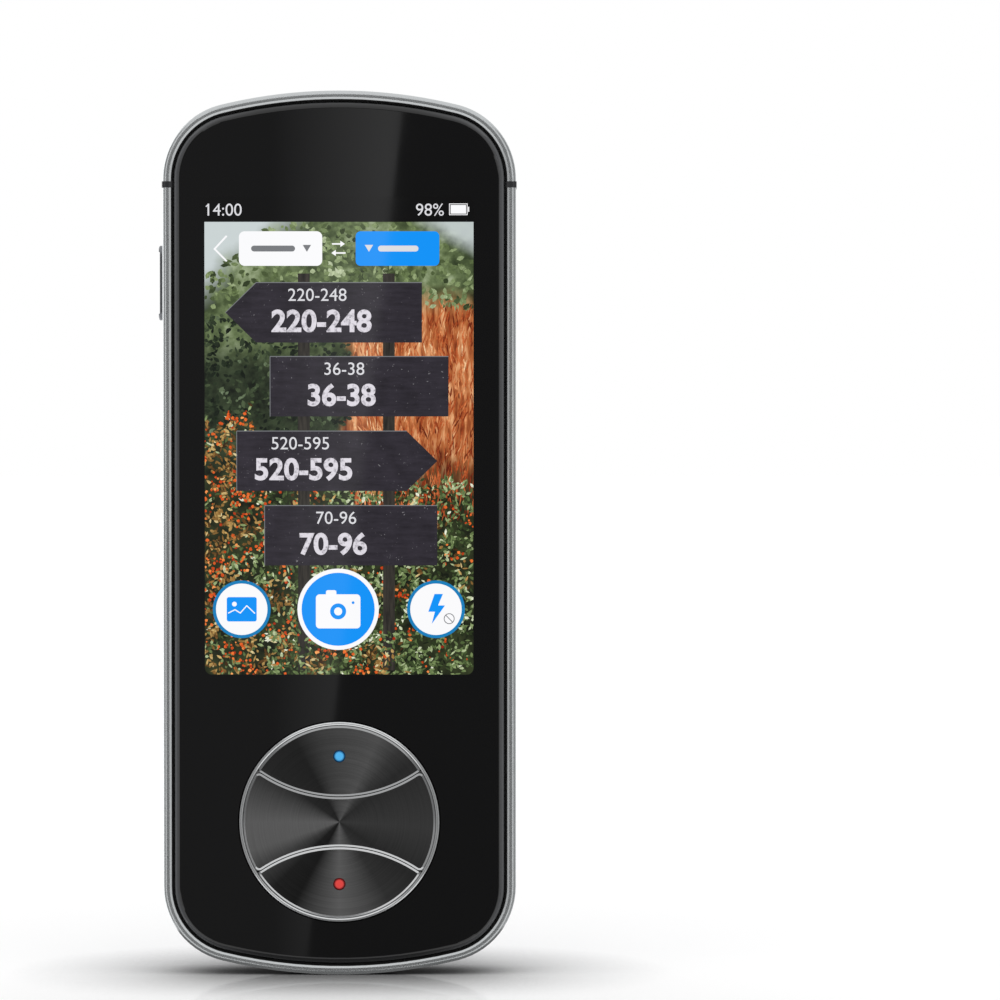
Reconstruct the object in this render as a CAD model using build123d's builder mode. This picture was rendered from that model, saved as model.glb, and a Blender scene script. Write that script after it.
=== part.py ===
from build123d import *
import os
from math import atan2, degrees, sqrt

# Handheld translator with a tall touch screen, three round keys below it, a rocker on its left side
# and a camera behind. Sizes are in millimetres. X is the width, Y the depth and Z the length, and
# the screen faces -Y. The origin lies in the middle of the flat back face. A height is a distance
# from that back face towards the screen. A rise is a distance from the lower end of the body, and
# a drop one from its upper end.

os.makedirs("parts", exist_ok=True)

# ------------------------------------------------------------------------------------------------
# Driving dimensions
# ------------------------------------------------------------------------------------------------

# Screen, and the borders that make the body around it with the keys' own height below
screen_width = 38.6
screen_height = 68.6
side_border = 6.1
top_border = 15.3

# Outline of the body: straight sides, slightly bowed ends, round corners
end_radius = 72.0
corner_radius = 11.0
back_edge_radius = 7.0

# Stack through the depth, from the back face to the glass
back_wall = 1.2
frame_clearance = 0.3
frame_thickness = 0.8
tray_floor = 0.3
backlight_thickness = 0.7
panel_thickness = 1.0
glass_thickness = 1.1

# Metal casing
side_wall = 1.4
rim_width = 1.35
rim_edge_radius = 0.6
rim_chamfer_width = 0.4
rim_chamfer_depth = 0.18
ledge_width = 1.0
ledge_thickness = 1.2

# Cover glass
glass_stand = 0.45
glass_gap = 0.22
glass_edge_radius = 1.0
glass_tape_thickness = 0.15
glass_tape_margin = 0.1

# Antenna strip
strip_width = 0.9
strip_proud = 0.1
strip_fillet = 0.8
strip_fillet_share = 0.9
strip_depth_over_wall = 0.6

# Camera group on the back
camera_drop = 13.5
window_length = 22.2
window_height = 10.3
window_corner = 3.4
window_recess = 0.3
window_gap = 0.04
bezel_width = 0.95
bezel_slope = 0.25
bezel_edge = 0.15
bezel_lip = 0.5
bezel_lip_thickness = 0.5
bezel_gap = 0.03
surround_width = 0.8
lens_x = -0.4
lens_cover_radius = 2.35
lens_radius = 1.9
lens_gap = 0.03
lens_dome = 0.35
lens_setback = 0.35
flash_inset = 4.1
flash_radius = 1.5
flash_lip = 0.6
flash_lip_thickness = 0.45
led_gap = 0.05
flash_led_size = 2.0
flash_led_thickness = 0.8
gasket_thickness = 0.4
gasket_inner_radius = 2.2
gasket_outer_radius = 3.4
barrel_radius = 3.4
barrel_length = 1.0
module_size = 8.5
module_depth = 4.5
module_clearance = 0.3
camera_pad_size = 7.5

# Keys on the front
cluster_rise = 22.12
cluster_gap = 6.82
cluster_radius = 14.36
ring_width = 0.42
ring_stand = 0.2
ring_chamfer_width = 0.17
ring_chamfer_depth = 0.1
ring_flange_width = 0.9
ring_flange_thickness = 0.4
ring_gap = 0.04
key_gap = 0.13
key_stand = 0.15
key_chamfer_width = 0.3
key_chamfer_depth = 0.16
key_flange_reach = 0.5
key_flange_thickness = 0.4
key_flange_gap = 0.1
key_corner = 0.35
centre_key_corner = 0.7
divider_radius = 20.3
divider_offset = 3.6
key_travel = 0.3
dot_offset = 9.2
dot_lift = 0.25
dot_radius = 0.75
dot_bore_radius = 0.9
dot_flange_radius = 1.2
dot_flange_thickness = 0.4
dot_setback = 0.03
dot_fit = 0.05

# Circuit under the keys
dome_rest_gap = 0.05
key_board_margin = 0.5
dome_radius = 2.0
dome_crown_radius = 0.9
dome_height = 0.25
dome_offset = 6.3
key_led_width = 1.6
key_led_depth = 0.8
key_led_height = 0.35
key_tab_width = 4.0
key_tab_x = 10.0
key_tab_rise = 7.5

# Rocker on the left side
side_key_drop = 27.5
side_key_length = 10.8
side_key_height = 2.6
side_key_stand = 0.8
side_key_dish = 0.2
side_key_dish_corner = 0.18
side_key_end = 0.9
side_key_edge = 0.25
side_key_gap = 0.15
side_key_flange = 0.35
side_key_flange_thickness = 0.6
side_key_inner_gap = 0.25
side_key_pocket_gap = 0.4
fulcrum_radius = 0.5
fulcrum_gap = 0.03
fulcrum_seat = 0.3
fulcrum_width = 1.6
fulcrum_depth = 1.4
side_switch_spacing = 8.0
side_switch_length = 3.4
side_switch_depth = 1.8
side_switch_height = 3.0
side_switch_button_radius = 0.5
side_switch_button_gap = 0.2
side_switch_button_level = 1.9
side_key_level = 2.2

# Sound holes and speaker
speaker_rise = 19.6
hole_radius = 0.45
hole_pitch = 2.1
hole_row_spacing = 1.77
holes_in_middle_row = 15
hole_rows = 3
speaker_side_gap = 8.5
speaker_width = 10.4
speaker_depth = 3.8
speaker_corner = 1.5
speaker_gasket_thickness = 0.5
speaker_gasket_width = 1.4
speaker_mesh_thickness = 0.1

# Boards
board_inset = 3.2
main_board_lift = 2.8
board_thickness = 0.8
lower_board_thickness = 0.8
board_end_margin = 3.3
lower_board_margin = 5.2
board_notch_gap = 0.5
standoff_radius = 1.6
standoff_bore_radius = 0.55
side_standoff_inset = 7.3
side_standoff_margin = 1.4
top_standoff_margin = 0.5
lower_standoff_x = 13.5
lower_standoff_margin = 1.2
end_standoff_x = 11.0
end_standoff_gap = 1.3
board_screw_radius = 0.5
board_screw_head_radius = 1.1
board_screw_head_height = 0.5
board_screw_depth = 1.3
board_screw_hole_radius = 0.6
shield_height = 1.6
shield_wall = 0.2
shield_corner = 0.5
shield_rise = 6.0
processor_shield_inset = 3.85
processor_shield_width = 12.5
processor_shield_length = 13.5
radio_shield_inset = 3.8
radio_shield_width = 15.0
radio_shield_length = 10.5
chip_height = 0.9
chip_margin = 2.0
link_width = 6.0
link_x = -1.0
link_bend_gap = 0.5
flex_thickness = 0.15
flex_bend = 0.5
connector_height = 0.9
connector_depth = 2.2
connector_margin = 1.0

# Socket at the lower end
usb_width = 8.94
usb_height = 3.16
usb_length = 7.35
usb_corner = 1.3
usb_wall = 0.3
usb_gap = 0.1
usb_recess = 0.2
usb_lift = 0.9
usb_tongue_width = 6.7
usb_tongue_thickness = 0.7
usb_tongue_setback = 0.5
usb_back_thickness = 1.2
end_opening_depth = 2.9
end_opening_start = 1.0

# Battery
battery_gap = 1.5
battery_side_gap = 0.6
battery_lift = 2.1
battery_tape_thickness = 0.2
battery_edge = 1.2
battery_tape_margin = 4.0
battery_wire_radius = 0.35
battery_wire_pitch = 1.0
battery_wire_count = 3
battery_plug_x = 8.0
battery_plug_width = 5.0
battery_plug_depth = 2.6
battery_plug_height = 1.1

# Screws that hold the mid frame, and the bosses that they go into
boss_radius = 1.9
boss_inset = 4.4
boss_strip_gap = 1.9
cap_boss_inset = 8.0
cap_boss_drop = 8.5
end_boss_inset = 9.0
end_boss_rise = 9.5
boss_bore_radius = 0.75
screw_radius = 0.7
screw_length = 4.0
screw_head_radius = 1.25
screw_head_height = 0.45
screw_head_gap = 0.05
screw_drive_radius = 0.5
screw_drive_sides = 6
screw_drive_depth = 0.25

# Mid frame and display
frame_gap = 0.2
panel_side_margin = 1.3
panel_top_margin = 1.2
panel_bottom_margin = 3.2
tray_wall = 0.3
display_gap = 0.05
display_flex_width = 8.0
display_flex_x = -12.0
display_flex_reach = 2.6
slot_gap = 0.6

# Microphones and aerial
rear_mic_reach = 2.45
mic_boss_radius = 1.4
mic_hole_radius = 0.43
mic_boot_radius = 1.4
mic_length = 3.5
mic_width = 2.7
mic_height = 1.0
voice_mic_x = -9.5
voice_hole_radius = 0.5
voice_boot_radius = 1.1
voice_boot_gap = 0.05
voice_mic_rise = 3.5
wifi_length = 10.0
wifi_width = 3.5
wifi_x = 8.5
wifi_drop = 5.2

# ------------------------------------------------------------------------------------------------
# Places worked out from the dimensions
# ------------------------------------------------------------------------------------------------

body_width = screen_width + 2 * side_border
body_length = top_border + screen_height + cluster_gap + cluster_radius + cluster_rise
half_width = body_width / 2
half_length = body_length / 2

main_board_back = back_wall + main_board_lift
main_board_front = main_board_back + board_thickness
frame_back = main_board_front + side_switch_height + frame_clearance
frame_front = frame_back + frame_thickness
backlight_back = frame_front + tray_floor
panel_back = backlight_back + backlight_thickness
glass_back = panel_back + panel_thickness
glass_front = glass_back + glass_thickness
rim_front = glass_front - glass_stand
ledge_front = glass_back - glass_tape_thickness
ledge_back = ledge_front - ledge_thickness
ledge_inset = rim_width + ledge_width

screen_z = half_length - top_border - screen_height / 2
camera_z = half_length - camera_drop
cluster_z = -half_length + cluster_rise
speaker_z = -half_length + speaker_rise
side_key_z = half_length - side_key_drop

bezel_end_x = window_length / 2 + bezel_width
flash_x = window_length / 2 - flash_inset
rear_mic_x = bezel_end_x + surround_width + rear_mic_reach

main_board_low = side_key_z - side_key_length / 2 - board_end_margin
speaker_length = body_width - 2 * speaker_side_gap
speaker_back = back_wall + speaker_mesh_thickness + speaker_gasket_thickness
lower_board_back = speaker_back + speaker_depth
lower_board_front = lower_board_back + lower_board_thickness
lower_board_high = speaker_z + speaker_width / 2 + lower_board_margin
board_side = half_width - board_inset

boss_x = half_width - boss_inset
cap_boss_x = half_width - cap_boss_inset
end_boss_x = half_width - end_boss_inset
cap_bosses = [(side * cap_boss_x, half_length - cap_boss_drop) for side in (-1, 1)]
housing_bosses = [
    (side * x, z)
    for x, z in (
        (boss_x, camera_z - strip_width / 2 - boss_strip_gap - boss_radius),
        (boss_x, cluster_z + cluster_radius + boss_radius + key_flange_reach),
        (end_boss_x, -half_length + end_boss_rise),
    )
    for side in (-1, 1)
]
main_standoffs = [
    (side_standoff_inset - board_side, main_board_low + standoff_radius + side_standoff_margin),
    (board_side - side_standoff_inset, main_board_low + standoff_radius + side_standoff_margin),
    (0, half_length - board_inset - standoff_radius - top_standoff_margin),
]
lower_standoffs = [
    (side * x, z)
    for x, z in (
        (lower_standoff_x, lower_board_high - standoff_radius - lower_standoff_margin),
        (end_standoff_x, speaker_z - speaker_width / 2 - standoff_radius - end_standoff_gap),
    )
    for side in (-1, 1)
]


# ------------------------------------------------------------------------------------------------
# Shared shapes
# ------------------------------------------------------------------------------------------------


def level(height):
    """The plane parallel to the back face at a height, with X across and Z up."""
    return Plane.XZ.offset(height)


def cluster(height):
    """As level, but centred on the round keys."""
    return Plane(origin=(0, -height, cluster_z), x_dir=(1, 0, 0), z_dir=(0, -1, 0))


def finish_piece(builder, name):
    """Labels a finished sub-part and writes its file."""
    builder.part.label = name
    export_step(builder.part, f"parts/{name}.step")


def slab(x, z, width, length, bottom, top, corner=0.0, mode=Mode.ADD):
    """Adds a flat block, round at its corners if a corner radius is given, to the part being made."""
    with BuildSketch(level(bottom)) as plan:
        with Locations((x, z)):
            if corner:
                RectangleRounded(width, length, corner)
            else:
                Rectangle(width, length)
    extrude(plan.sketch, amount=top - bottom, mode=mode)


def post(x, z, radius, bottom, top, mode=Mode.ADD):
    """Adds a round post, or with Mode.SUBTRACT a bore, along the depth."""
    with BuildSketch(level(bottom)) as plan:
        with Locations((x, z)):
            Circle(radius)
    extrude(plan.sketch, amount=top - bottom, mode=mode)


def flex(path, x, width):
    """Adds a flat flexible circuit whose side profile follows (z, height) points."""
    with BuildSketch(Plane.YZ.offset(x - width / 2)) as profile:
        with BuildLine():
            FilletPolyline([(-height, z) for z, height in path], radius=flex_bend)
        trace(line_width=flex_thickness)
    extrude(profile.sketch, amount=width)


def body_outline(inset):
    """Outline of the body drawn in by an inset: bowed ends, round corners, straight sides."""
    corner = corner_radius - inset
    corner_x = half_width - inset - corner
    end_centre = half_length - end_radius
    reach = sqrt((end_radius - inset - corner) ** 2 - corner_x**2)
    turn = degrees(atan2(reach, corner_x))
    with BuildSketch() as outline:
        with BuildLine():
            Line((half_width - inset, 0), (half_width - inset, end_centre + reach))
            CenterArc((corner_x, end_centre + reach), corner, 0, turn)
            CenterArc((0, end_centre), end_radius - inset, turn, 90 - turn)
            mirror(about=Plane.YZ)
            mirror(about=Plane.XZ)
        make_face()
    return outline.sketch


def outline_slab(inset, bottom, top, mode=Mode.ADD):
    """Adds a slab with the body's own outline, drawn in by an inset."""
    with BuildSketch(level(bottom)) as plan:
        add(body_outline(inset))
    extrude(plan.sketch, amount=top - bottom, mode=mode)


# ------------------------------------------------------------------------------------------------
# Metal casing: rear housing, top cap and the plastic strip between them
# ------------------------------------------------------------------------------------------------

# Space inside the casing. The screw bosses stand in it, so they are left out of it.
with BuildPart() as casing_room:
    outline_slab(side_wall, back_wall, ledge_back)
    back_edges = casing_room.edges().group_by(Axis.Y)[-1]
    fillet(back_edges, back_edge_radius - (back_wall + side_wall) / 2)
    outline_slab(ledge_inset, ledge_back, ledge_front)
    outline_slab(rim_width, ledge_front, glass_front)
    for boss_place in cap_bosses + housing_bosses:
        post(*boss_place, boss_radius, back_wall, frame_back, mode=Mode.SUBTRACT)


def casing(grow):
    """The whole casing, hollow and open at the front, grown sideways by a small amount."""
    with BuildPart() as shell:
        outline_slab(-grow, 0, rim_front)
        fillet(shell.edges().group_by(Axis.Y)[-1], back_edge_radius + grow)
        fillet(shell.edges().group_by(Axis.Y)[0], rim_edge_radius)
        add(casing_room.part, mode=Mode.SUBTRACT)
        rim_face = shell.faces().sort_by(Axis.Y)[0]
        rim_inner_edges = rim_face.inner_wires()[0].edges()
        chamfer(rim_inner_edges, rim_chamfer_width, rim_chamfer_depth, reference=rim_face)
    return shell.part


# The strip's full shape through the casing: a band all round, the camera surround and a round
# boss for the rear microphone on the back wall.
with BuildPart() as strip_space:
    with BuildSketch(level(0)) as strip_plan:
        Rectangle(body_width + 4 * strip_proud, strip_width)
        RectangleRounded(
            2 * (bezel_end_x + surround_width),
            window_height + 2 * (bezel_width + surround_width),
            window_corner + bezel_width + surround_width,
        )
        strip_corners = [
            corner
            for corner in strip_plan.vertices()
            if abs(abs(corner.Y) - strip_width / 2) < strip_proud and abs(corner.X) < half_width
        ]
        island_straight = (window_height - strip_width) / 2 - window_corner
        fillet(strip_corners, min(strip_fillet, strip_fillet_share * island_straight))
        with Locations((rear_mic_x, 0)):
            Circle(mic_boss_radius)
    extrude(Pos(0, 0, camera_z) * strip_plan.sketch, amount=back_wall + strip_depth_over_wall)
    slab(0, camera_z, body_width + 4 * strip_proud, strip_width, 0, glass_front)

with BuildPart() as strip_shape:
    add(strip_space.part)
    slab(
        0,
        camera_z,
        2 * bezel_end_x,
        window_height + 2 * bezel_width,
        0,
        back_wall + strip_depth_over_wall,
        corner=window_corner + bezel_width,
        mode=Mode.SUBTRACT,
    )
    slab(
        0,
        camera_z,
        2 * (bezel_end_x + surround_width),
        window_height + 2 * (bezel_width + surround_width),
        back_wall,
        back_wall + strip_depth_over_wall,
        mode=Mode.SUBTRACT,
    )
    post(rear_mic_x, camera_z, mic_hole_radius, 0, back_wall, mode=Mode.SUBTRACT)

# All that lies around the strip. Taken off the casing, it leaves the strip.
with BuildPart() as strip_surroundings:
    slab(0, 0, 2 * body_width, 2 * body_length, -back_wall, glass_front + back_wall)
    add(strip_shape.part, mode=Mode.SUBTRACT)

with BuildPart() as antenna_strip:
    add(casing(strip_proud))
    add(strip_surroundings.part, mode=Mode.SUBTRACT)
finish_piece(antenna_strip, "antenna_strip")

metal_casing = casing(0)

with BuildPart() as top_cap:
    add(metal_casing)
    split(bisect_by=Plane.XY.offset(camera_z), keep=Keep.TOP)
    add(strip_space.part, mode=Mode.SUBTRACT)
    for boss_place in cap_bosses:
        post(*boss_place, boss_bore_radius, back_wall + frame_thickness, frame_back, Mode.SUBTRACT)
finish_piece(top_cap, "top_cap")

side_key_y = main_board_front + side_key_level

with BuildPart() as rear_housing:
    add(metal_casing)
    split(bisect_by=Plane.XY.offset(camera_z), keep=Keep.BOTTOM)
    add(strip_space.part, mode=Mode.SUBTRACT)
    for boss_place in housing_bosses:
        post(*boss_place, boss_bore_radius, back_wall + frame_thickness, frame_back, Mode.SUBTRACT)
    # Sound holes, in staggered rows
    with BuildSketch(level(0)) as sound_holes:
        for row in range(hole_rows):
            row_offset = row - (hole_rows - 1) / 2
            row_count = holes_in_middle_row - round(abs(row_offset))
            with Locations((0, speaker_z + row_offset * hole_row_spacing)):
                with GridLocations(hole_pitch, 0, row_count, 1):
                    Circle(hole_radius)
    extrude(sound_holes.sketch, amount=back_wall, mode=Mode.SUBTRACT)
    # Opening for the rocker, and a flat pocket inside for its flange
    with BuildSketch(Plane.YZ.offset(-half_width - side_key_stand)) as rocker_opening:
        with Locations((-side_key_y, side_key_z)):
            SlotOverall(side_key_length + 2 * side_key_gap, side_key_height + 2 * side_key_gap, rotation=90)
    extrude(rocker_opening.sketch, amount=side_key_stand + 2 * side_wall, mode=Mode.SUBTRACT)
    with BuildSketch(Plane.YZ.offset(-half_width + side_wall)) as rocker_pocket:
        with Locations((-side_key_y, side_key_z)):
            Rectangle(
                side_key_height + 2 * (side_key_flange + side_key_pocket_gap),
                side_key_length + 2 * (side_key_flange + side_key_pocket_gap),
            )
    extrude(rocker_pocket.sketch, amount=side_wall, mode=Mode.SUBTRACT)
    # Opening for the socket, and the voice microphone's hole beside it
    with BuildSketch(Plane.XY.offset(-half_length - end_opening_start)) as end_openings:
        with Locations((0, -(lower_board_back + lower_board_thickness / 2 + usb_lift))):
            RectangleRounded(usb_width + 2 * usb_gap, usb_height + 2 * usb_gap, usb_corner + usb_gap)
        with Locations((voice_mic_x, -(lower_board_front + mic_height / 2))):
            Circle(voice_hole_radius)
    extrude(end_openings.sketch, amount=end_opening_start + end_opening_depth, mode=Mode.SUBTRACT)
finish_piece(rear_housing, "rear_housing")

# ------------------------------------------------------------------------------------------------
# Camera group
# ------------------------------------------------------------------------------------------------

bezel_seat = back_wall
window_centre = (0, camera_z)

# Polished ring around the window, with a lip inside that the window lies on
with BuildPart() as camera_bezel:
    slab(
        *window_centre,
        window_length + 2 * (bezel_width - bezel_gap),
        window_height + 2 * (bezel_width - bezel_gap),
        0,
        bezel_seat,
        corner=window_corner + bezel_width - bezel_gap,
    )
    slab(*window_centre, window_length, window_height, 0, bezel_seat, window_corner, Mode.SUBTRACT)
    bezel_front = camera_bezel.faces().sort_by(Axis.Y)[-1]
    chamfer(bezel_front.inner_wires()[0].edges(), bezel_slope)
    bezel_front = camera_bezel.faces().sort_by(Axis.Y)[-1]
    chamfer(bezel_front.outer_wire().edges(), bezel_edge)
    lip_top = bezel_seat + bezel_lip_thickness
    slab(
        *window_centre,
        window_length + 2 * (bezel_width + bezel_lip),
        window_height + 2 * (bezel_width + bezel_lip),
        bezel_seat,
        lip_top,
        corner=window_corner + bezel_width + bezel_lip,
    )
    slab(
        *window_centre,
        window_length - 2 * bezel_lip,
        window_height - 2 * bezel_lip,
        bezel_seat,
        lip_top,
        corner=window_corner - bezel_lip,
        mode=Mode.SUBTRACT,
    )
finish_piece(camera_bezel, "camera_bezel")

# Black glass window with openings for the lens and the flash
with BuildPart() as camera_window:
    slab(
        *window_centre,
        window_length - 2 * window_gap,
        window_height - 2 * window_gap,
        window_recess,
        bezel_seat,
        corner=window_corner - window_gap,
    )
    post(lens_x, camera_z, lens_cover_radius + lens_gap, window_recess, bezel_seat, Mode.SUBTRACT)
    post(flash_x, camera_z, flash_radius + lens_gap, window_recess, bezel_seat, Mode.SUBTRACT)
finish_piece(camera_window, "camera_window")

with BuildPart() as camera_lens_cover:
    post(lens_x, camera_z, lens_cover_radius, window_recess, bezel_seat)
finish_piece(camera_lens_cover, "camera_lens_cover")

# Light guide of the flash: its face fills the window's opening and its lip lies behind the window
flash_led_back = main_board_back - flash_led_thickness
with BuildPart() as flash_lens:
    post(flash_x, camera_z, flash_radius, window_recess, flash_led_back - led_gap)
    post(flash_x, camera_z, flash_radius + flash_lip, bezel_seat, bezel_seat + flash_lip_thickness)
finish_piece(flash_lens, "flash_lens")

with BuildPart() as flash_led:
    slab(flash_x, camera_z, flash_led_size, flash_led_size, flash_led_back, main_board_back)
finish_piece(flash_led, "flash_led")

# Foam ring between the window and the camera module
barrel_back = bezel_seat + gasket_thickness
with BuildPart() as camera_gasket:
    post(lens_x, camera_z, gasket_outer_radius, bezel_seat, barrel_back)
    post(lens_x, camera_z, gasket_inner_radius, bezel_seat, barrel_back, mode=Mode.SUBTRACT)
finish_piece(camera_gasket, "camera_gasket")

module_back = barrel_back + barrel_length
module_front = module_back + module_depth
lens_back = barrel_back + lens_setback
with BuildPart() as camera_module:
    slab(lens_x, camera_z, module_size, module_size, module_back, module_front)
    chamfer(camera_module.edges().filter_by(Axis.Y), module_clearance)
    post(lens_x, camera_z, barrel_radius, barrel_back, module_back)
    post(lens_x, camera_z, lens_radius + lens_gap, barrel_back, module_back + lens_radius, Mode.SUBTRACT)
finish_piece(camera_module, "camera_module")

# Lens stack in the barrel, with a domed first element
lens_front = module_back + lens_radius
dome_sphere = (lens_radius**2 + lens_dome**2) / (2 * lens_dome)
with BuildPart() as camera_lens:
    post(lens_x, camera_z, lens_radius, lens_back, lens_front)
    with Locations((lens_x, -(lens_back + dome_sphere), camera_z)):
        Sphere(dome_sphere, mode=Mode.INTERSECT)
finish_piece(camera_lens, "camera_lens")

with BuildPart() as camera_pad:
    slab(lens_x, camera_z, camera_pad_size, camera_pad_size, module_front, frame_back)
finish_piece(camera_pad, "camera_pad")

# Flat cable from the module down to its connector on the main board
camera_edge = camera_z - module_size / 2
camera_connector_z = camera_edge - 2 * connector_depth
camera_flex_level = main_board_front + connector_height + flex_thickness / 2
camera_flex_start = module_front - connector_height
with BuildPart() as camera_flex:
    flex(
        [
            (camera_edge, camera_flex_start),
            (camera_edge - connector_margin, camera_flex_start),
            (camera_edge - 2 * connector_margin, camera_flex_level),
            (camera_connector_z - connector_depth / 2, camera_flex_level),
        ],
        lens_x,
        link_width,
    )
finish_piece(camera_flex, "camera_flex")

# ------------------------------------------------------------------------------------------------
# Cover glass and display
# ------------------------------------------------------------------------------------------------

glass_inset = rim_width + glass_gap

with BuildPart() as front_glass:
    outline_slab(glass_inset, glass_back, glass_front)
    glass_face = front_glass.faces().sort_by(Axis.Y)[0]
    fillet(glass_face.outer_wire().edges(), glass_edge_radius)
    post(0, cluster_z, cluster_radius + ring_gap, glass_back, glass_front, mode=Mode.SUBTRACT)
finish_piece(front_glass, "front_glass")

# Adhesive tape that seats the glass on the casing's ledge
with BuildPart() as glass_tape:
    outline_slab(glass_inset + glass_tape_margin, ledge_front, glass_back)
    outline_slab(ledge_inset - glass_tape_margin, ledge_front, glass_back, mode=Mode.SUBTRACT)
finish_piece(glass_tape, "glass_tape")

panel_width = screen_width + 2 * panel_side_margin
panel_length = screen_height + panel_top_margin + panel_bottom_margin
panel_z = screen_z + (panel_top_margin - panel_bottom_margin) / 2
panel_high = panel_z + panel_length / 2

with BuildPart() as display_panel:
    slab(0, panel_z, panel_width, panel_length, panel_back, glass_back)
finish_piece(display_panel, "display_panel")

with BuildPart() as display_backlight:
    slab(
        0,
        panel_z,
        panel_width - 2 * display_gap,
        panel_length - 2 * display_gap,
        backlight_back,
        panel_back,
    )
finish_piece(display_backlight, "display_backlight")

# Sheet-metal tray around the backlight
with BuildPart() as display_tray:
    slab(0, panel_z, panel_width + 2 * tray_wall, panel_length + 2 * tray_wall, frame_front, panel_back)
    slab(0, panel_z, panel_width, panel_length, backlight_back, panel_back, mode=Mode.SUBTRACT)
finish_piece(display_tray, "display_tray")

# Flat cable from the top of the panel, through the mid frame, to the main board
display_slot_z = panel_high + display_flex_reach
display_flex_start = panel_back + flex_thickness
display_flex_level = main_board_front + connector_height + flex_thickness / 2
display_connector_z = display_slot_z - connector_depth - connector_margin
with BuildPart() as display_flex:
    flex(
        [
            (panel_high, display_flex_start),
            (display_slot_z, display_flex_start),
            (display_slot_z, display_flex_level),
            (display_connector_z - connector_depth / 2, display_flex_level),
        ],
        display_flex_x,
        display_flex_width,
    )
finish_piece(display_flex, "display_flex")

# ------------------------------------------------------------------------------------------------
# Round keys
# ------------------------------------------------------------------------------------------------

ring_inner_radius = cluster_radius - ring_width
key_radius = ring_inner_radius - key_gap
ring_front = glass_front + ring_stand
ring_back = glass_back - ring_flange_thickness
key_front = glass_front + key_stand
key_flange_front = ring_back - key_flange_gap
key_back = key_flange_front - key_flange_thickness
divider_centre = divider_offset + divider_radius

with BuildPart() as key_ring:
    with BuildSketch(cluster(glass_back)):
        Circle(cluster_radius)
    extrude(amount=ring_front - glass_back)
    with BuildSketch(cluster(ring_back)):
        Circle(cluster_radius + ring_flange_width)
    extrude(amount=ring_flange_thickness)
    with BuildSketch(cluster(ring_back)):
        Circle(ring_inner_radius)
    extrude(amount=ring_front - ring_back, mode=Mode.SUBTRACT)
    ring_face = key_ring.faces().sort_by(Axis.Y)[0]
    chamfer(ring_face.edges(), ring_chamfer_width, ring_chamfer_depth, reference=ring_face)
finish_piece(key_ring, "key_ring")


def outer_key_plan(side, reach, corner):
    """Plan of the upper (side 1) or lower (side -1) key: the disc beyond its dividing arc."""
    with BuildSketch() as plan:
        Circle(key_radius + reach)
        with Locations((0, side * divider_centre)):
            Circle(divider_radius - key_gap / 2, mode=Mode.INTERSECT)
        fillet(plan.vertices(), corner)
    return plan.sketch


def centre_key_plan(reach, corner):
    """Plan of the key between the two dividing arcs."""
    with BuildSketch() as plan:
        Circle(key_radius + reach)
        with Locations((0, divider_centre), (0, -divider_centre)):
            Circle(divider_radius + key_gap / 2, mode=Mode.SUBTRACT)
        fillet(plan.vertices(), corner)
    return plan.sketch


def key_form(plan, flange_plan):
    """Adds a key: a thick plate with a polished edge, on a wider and thinner flange."""
    with BuildSketch(cluster(key_back)) as plate:
        add(plan)
    extrude(plate.sketch, amount=key_front - key_back)
    key_face = faces().sort_by(Axis.Y)[0]
    chamfer(key_face.edges(), key_chamfer_width, key_chamfer_depth, reference=key_face)
    with BuildSketch(cluster(key_back)) as flange:
        add(flange_plan)
    extrude(flange.sketch, amount=key_flange_thickness)


with BuildPart() as centre_key:
    key_form(
        centre_key_plan(0, centre_key_corner),
        centre_key_plan(key_flange_reach, centre_key_corner),
    )
finish_piece(centre_key, "centre_key")

# The two outer keys each hold an indicator: a light guide with a flange behind the key's face
dot_front = key_front - dot_setback
dot_flange_back = key_back + 2 * key_flange_thickness - dot_fit
dot_flange_front = dot_flange_back + dot_flange_thickness
for key_name, side in (("upper_key", 1), ("lower_key", -1)):
    dot_z = cluster_z + dot_lift + side * dot_offset
    with BuildPart() as outer_key:
        key_form(
            outer_key_plan(side, 0, key_corner),
            outer_key_plan(side, key_flange_reach, key_corner),
        )
        post(0, dot_z, dot_bore_radius, key_back, key_front, mode=Mode.SUBTRACT)
        post(0, dot_z, dot_flange_radius + dot_fit, key_back, dot_flange_front, mode=Mode.SUBTRACT)
    finish_piece(outer_key, key_name)

    with BuildPart() as key_dot:
        post(0, dot_z, dot_radius, dot_flange_back, dot_front)
        post(0, dot_z, dot_flange_radius, dot_flange_back, dot_flange_front)
    finish_piece(key_dot, f"{key_name}_dot")

# ------------------------------------------------------------------------------------------------
# Circuit under the keys
# ------------------------------------------------------------------------------------------------

# At full travel a key stops just short of its dome
key_board_front = key_back - key_travel - dome_rest_gap - dome_height
key_board_radius = key_radius - key_board_margin
key_tab_z = -half_length + key_tab_rise

with BuildPart() as key_board:
    post(0, cluster_z, key_board_radius, frame_front, key_board_front)
    slab(
        key_tab_x,
        (cluster_z + key_tab_z) / 2,
        key_tab_width,
        cluster_z - key_tab_z,
        frame_front,
        key_board_front,
    )
finish_piece(key_board, "key_board")

# Snap domes, one behind each key: shallow cones with a flat crown
with BuildPart() as key_domes:
    for dome_place in ((0, -dome_offset), (0, 0), (0, dome_offset)):
        with BuildSketch(cluster(key_board_front)):
            with Locations(dome_place):
                Circle(dome_radius)
        with BuildSketch(cluster(key_board_front + dome_height)):
            with Locations(dome_place):
                Circle(dome_crown_radius)
        loft()
finish_piece(key_domes, "key_domes")

with BuildPart() as key_leds:
    for side in (-1, 1):
        slab(
            0,
            cluster_z + dot_lift + side * dot_offset,
            key_led_width,
            key_led_depth,
            key_board_front,
            key_board_front + key_led_height,
        )
finish_piece(key_leds, "key_leds")

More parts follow.
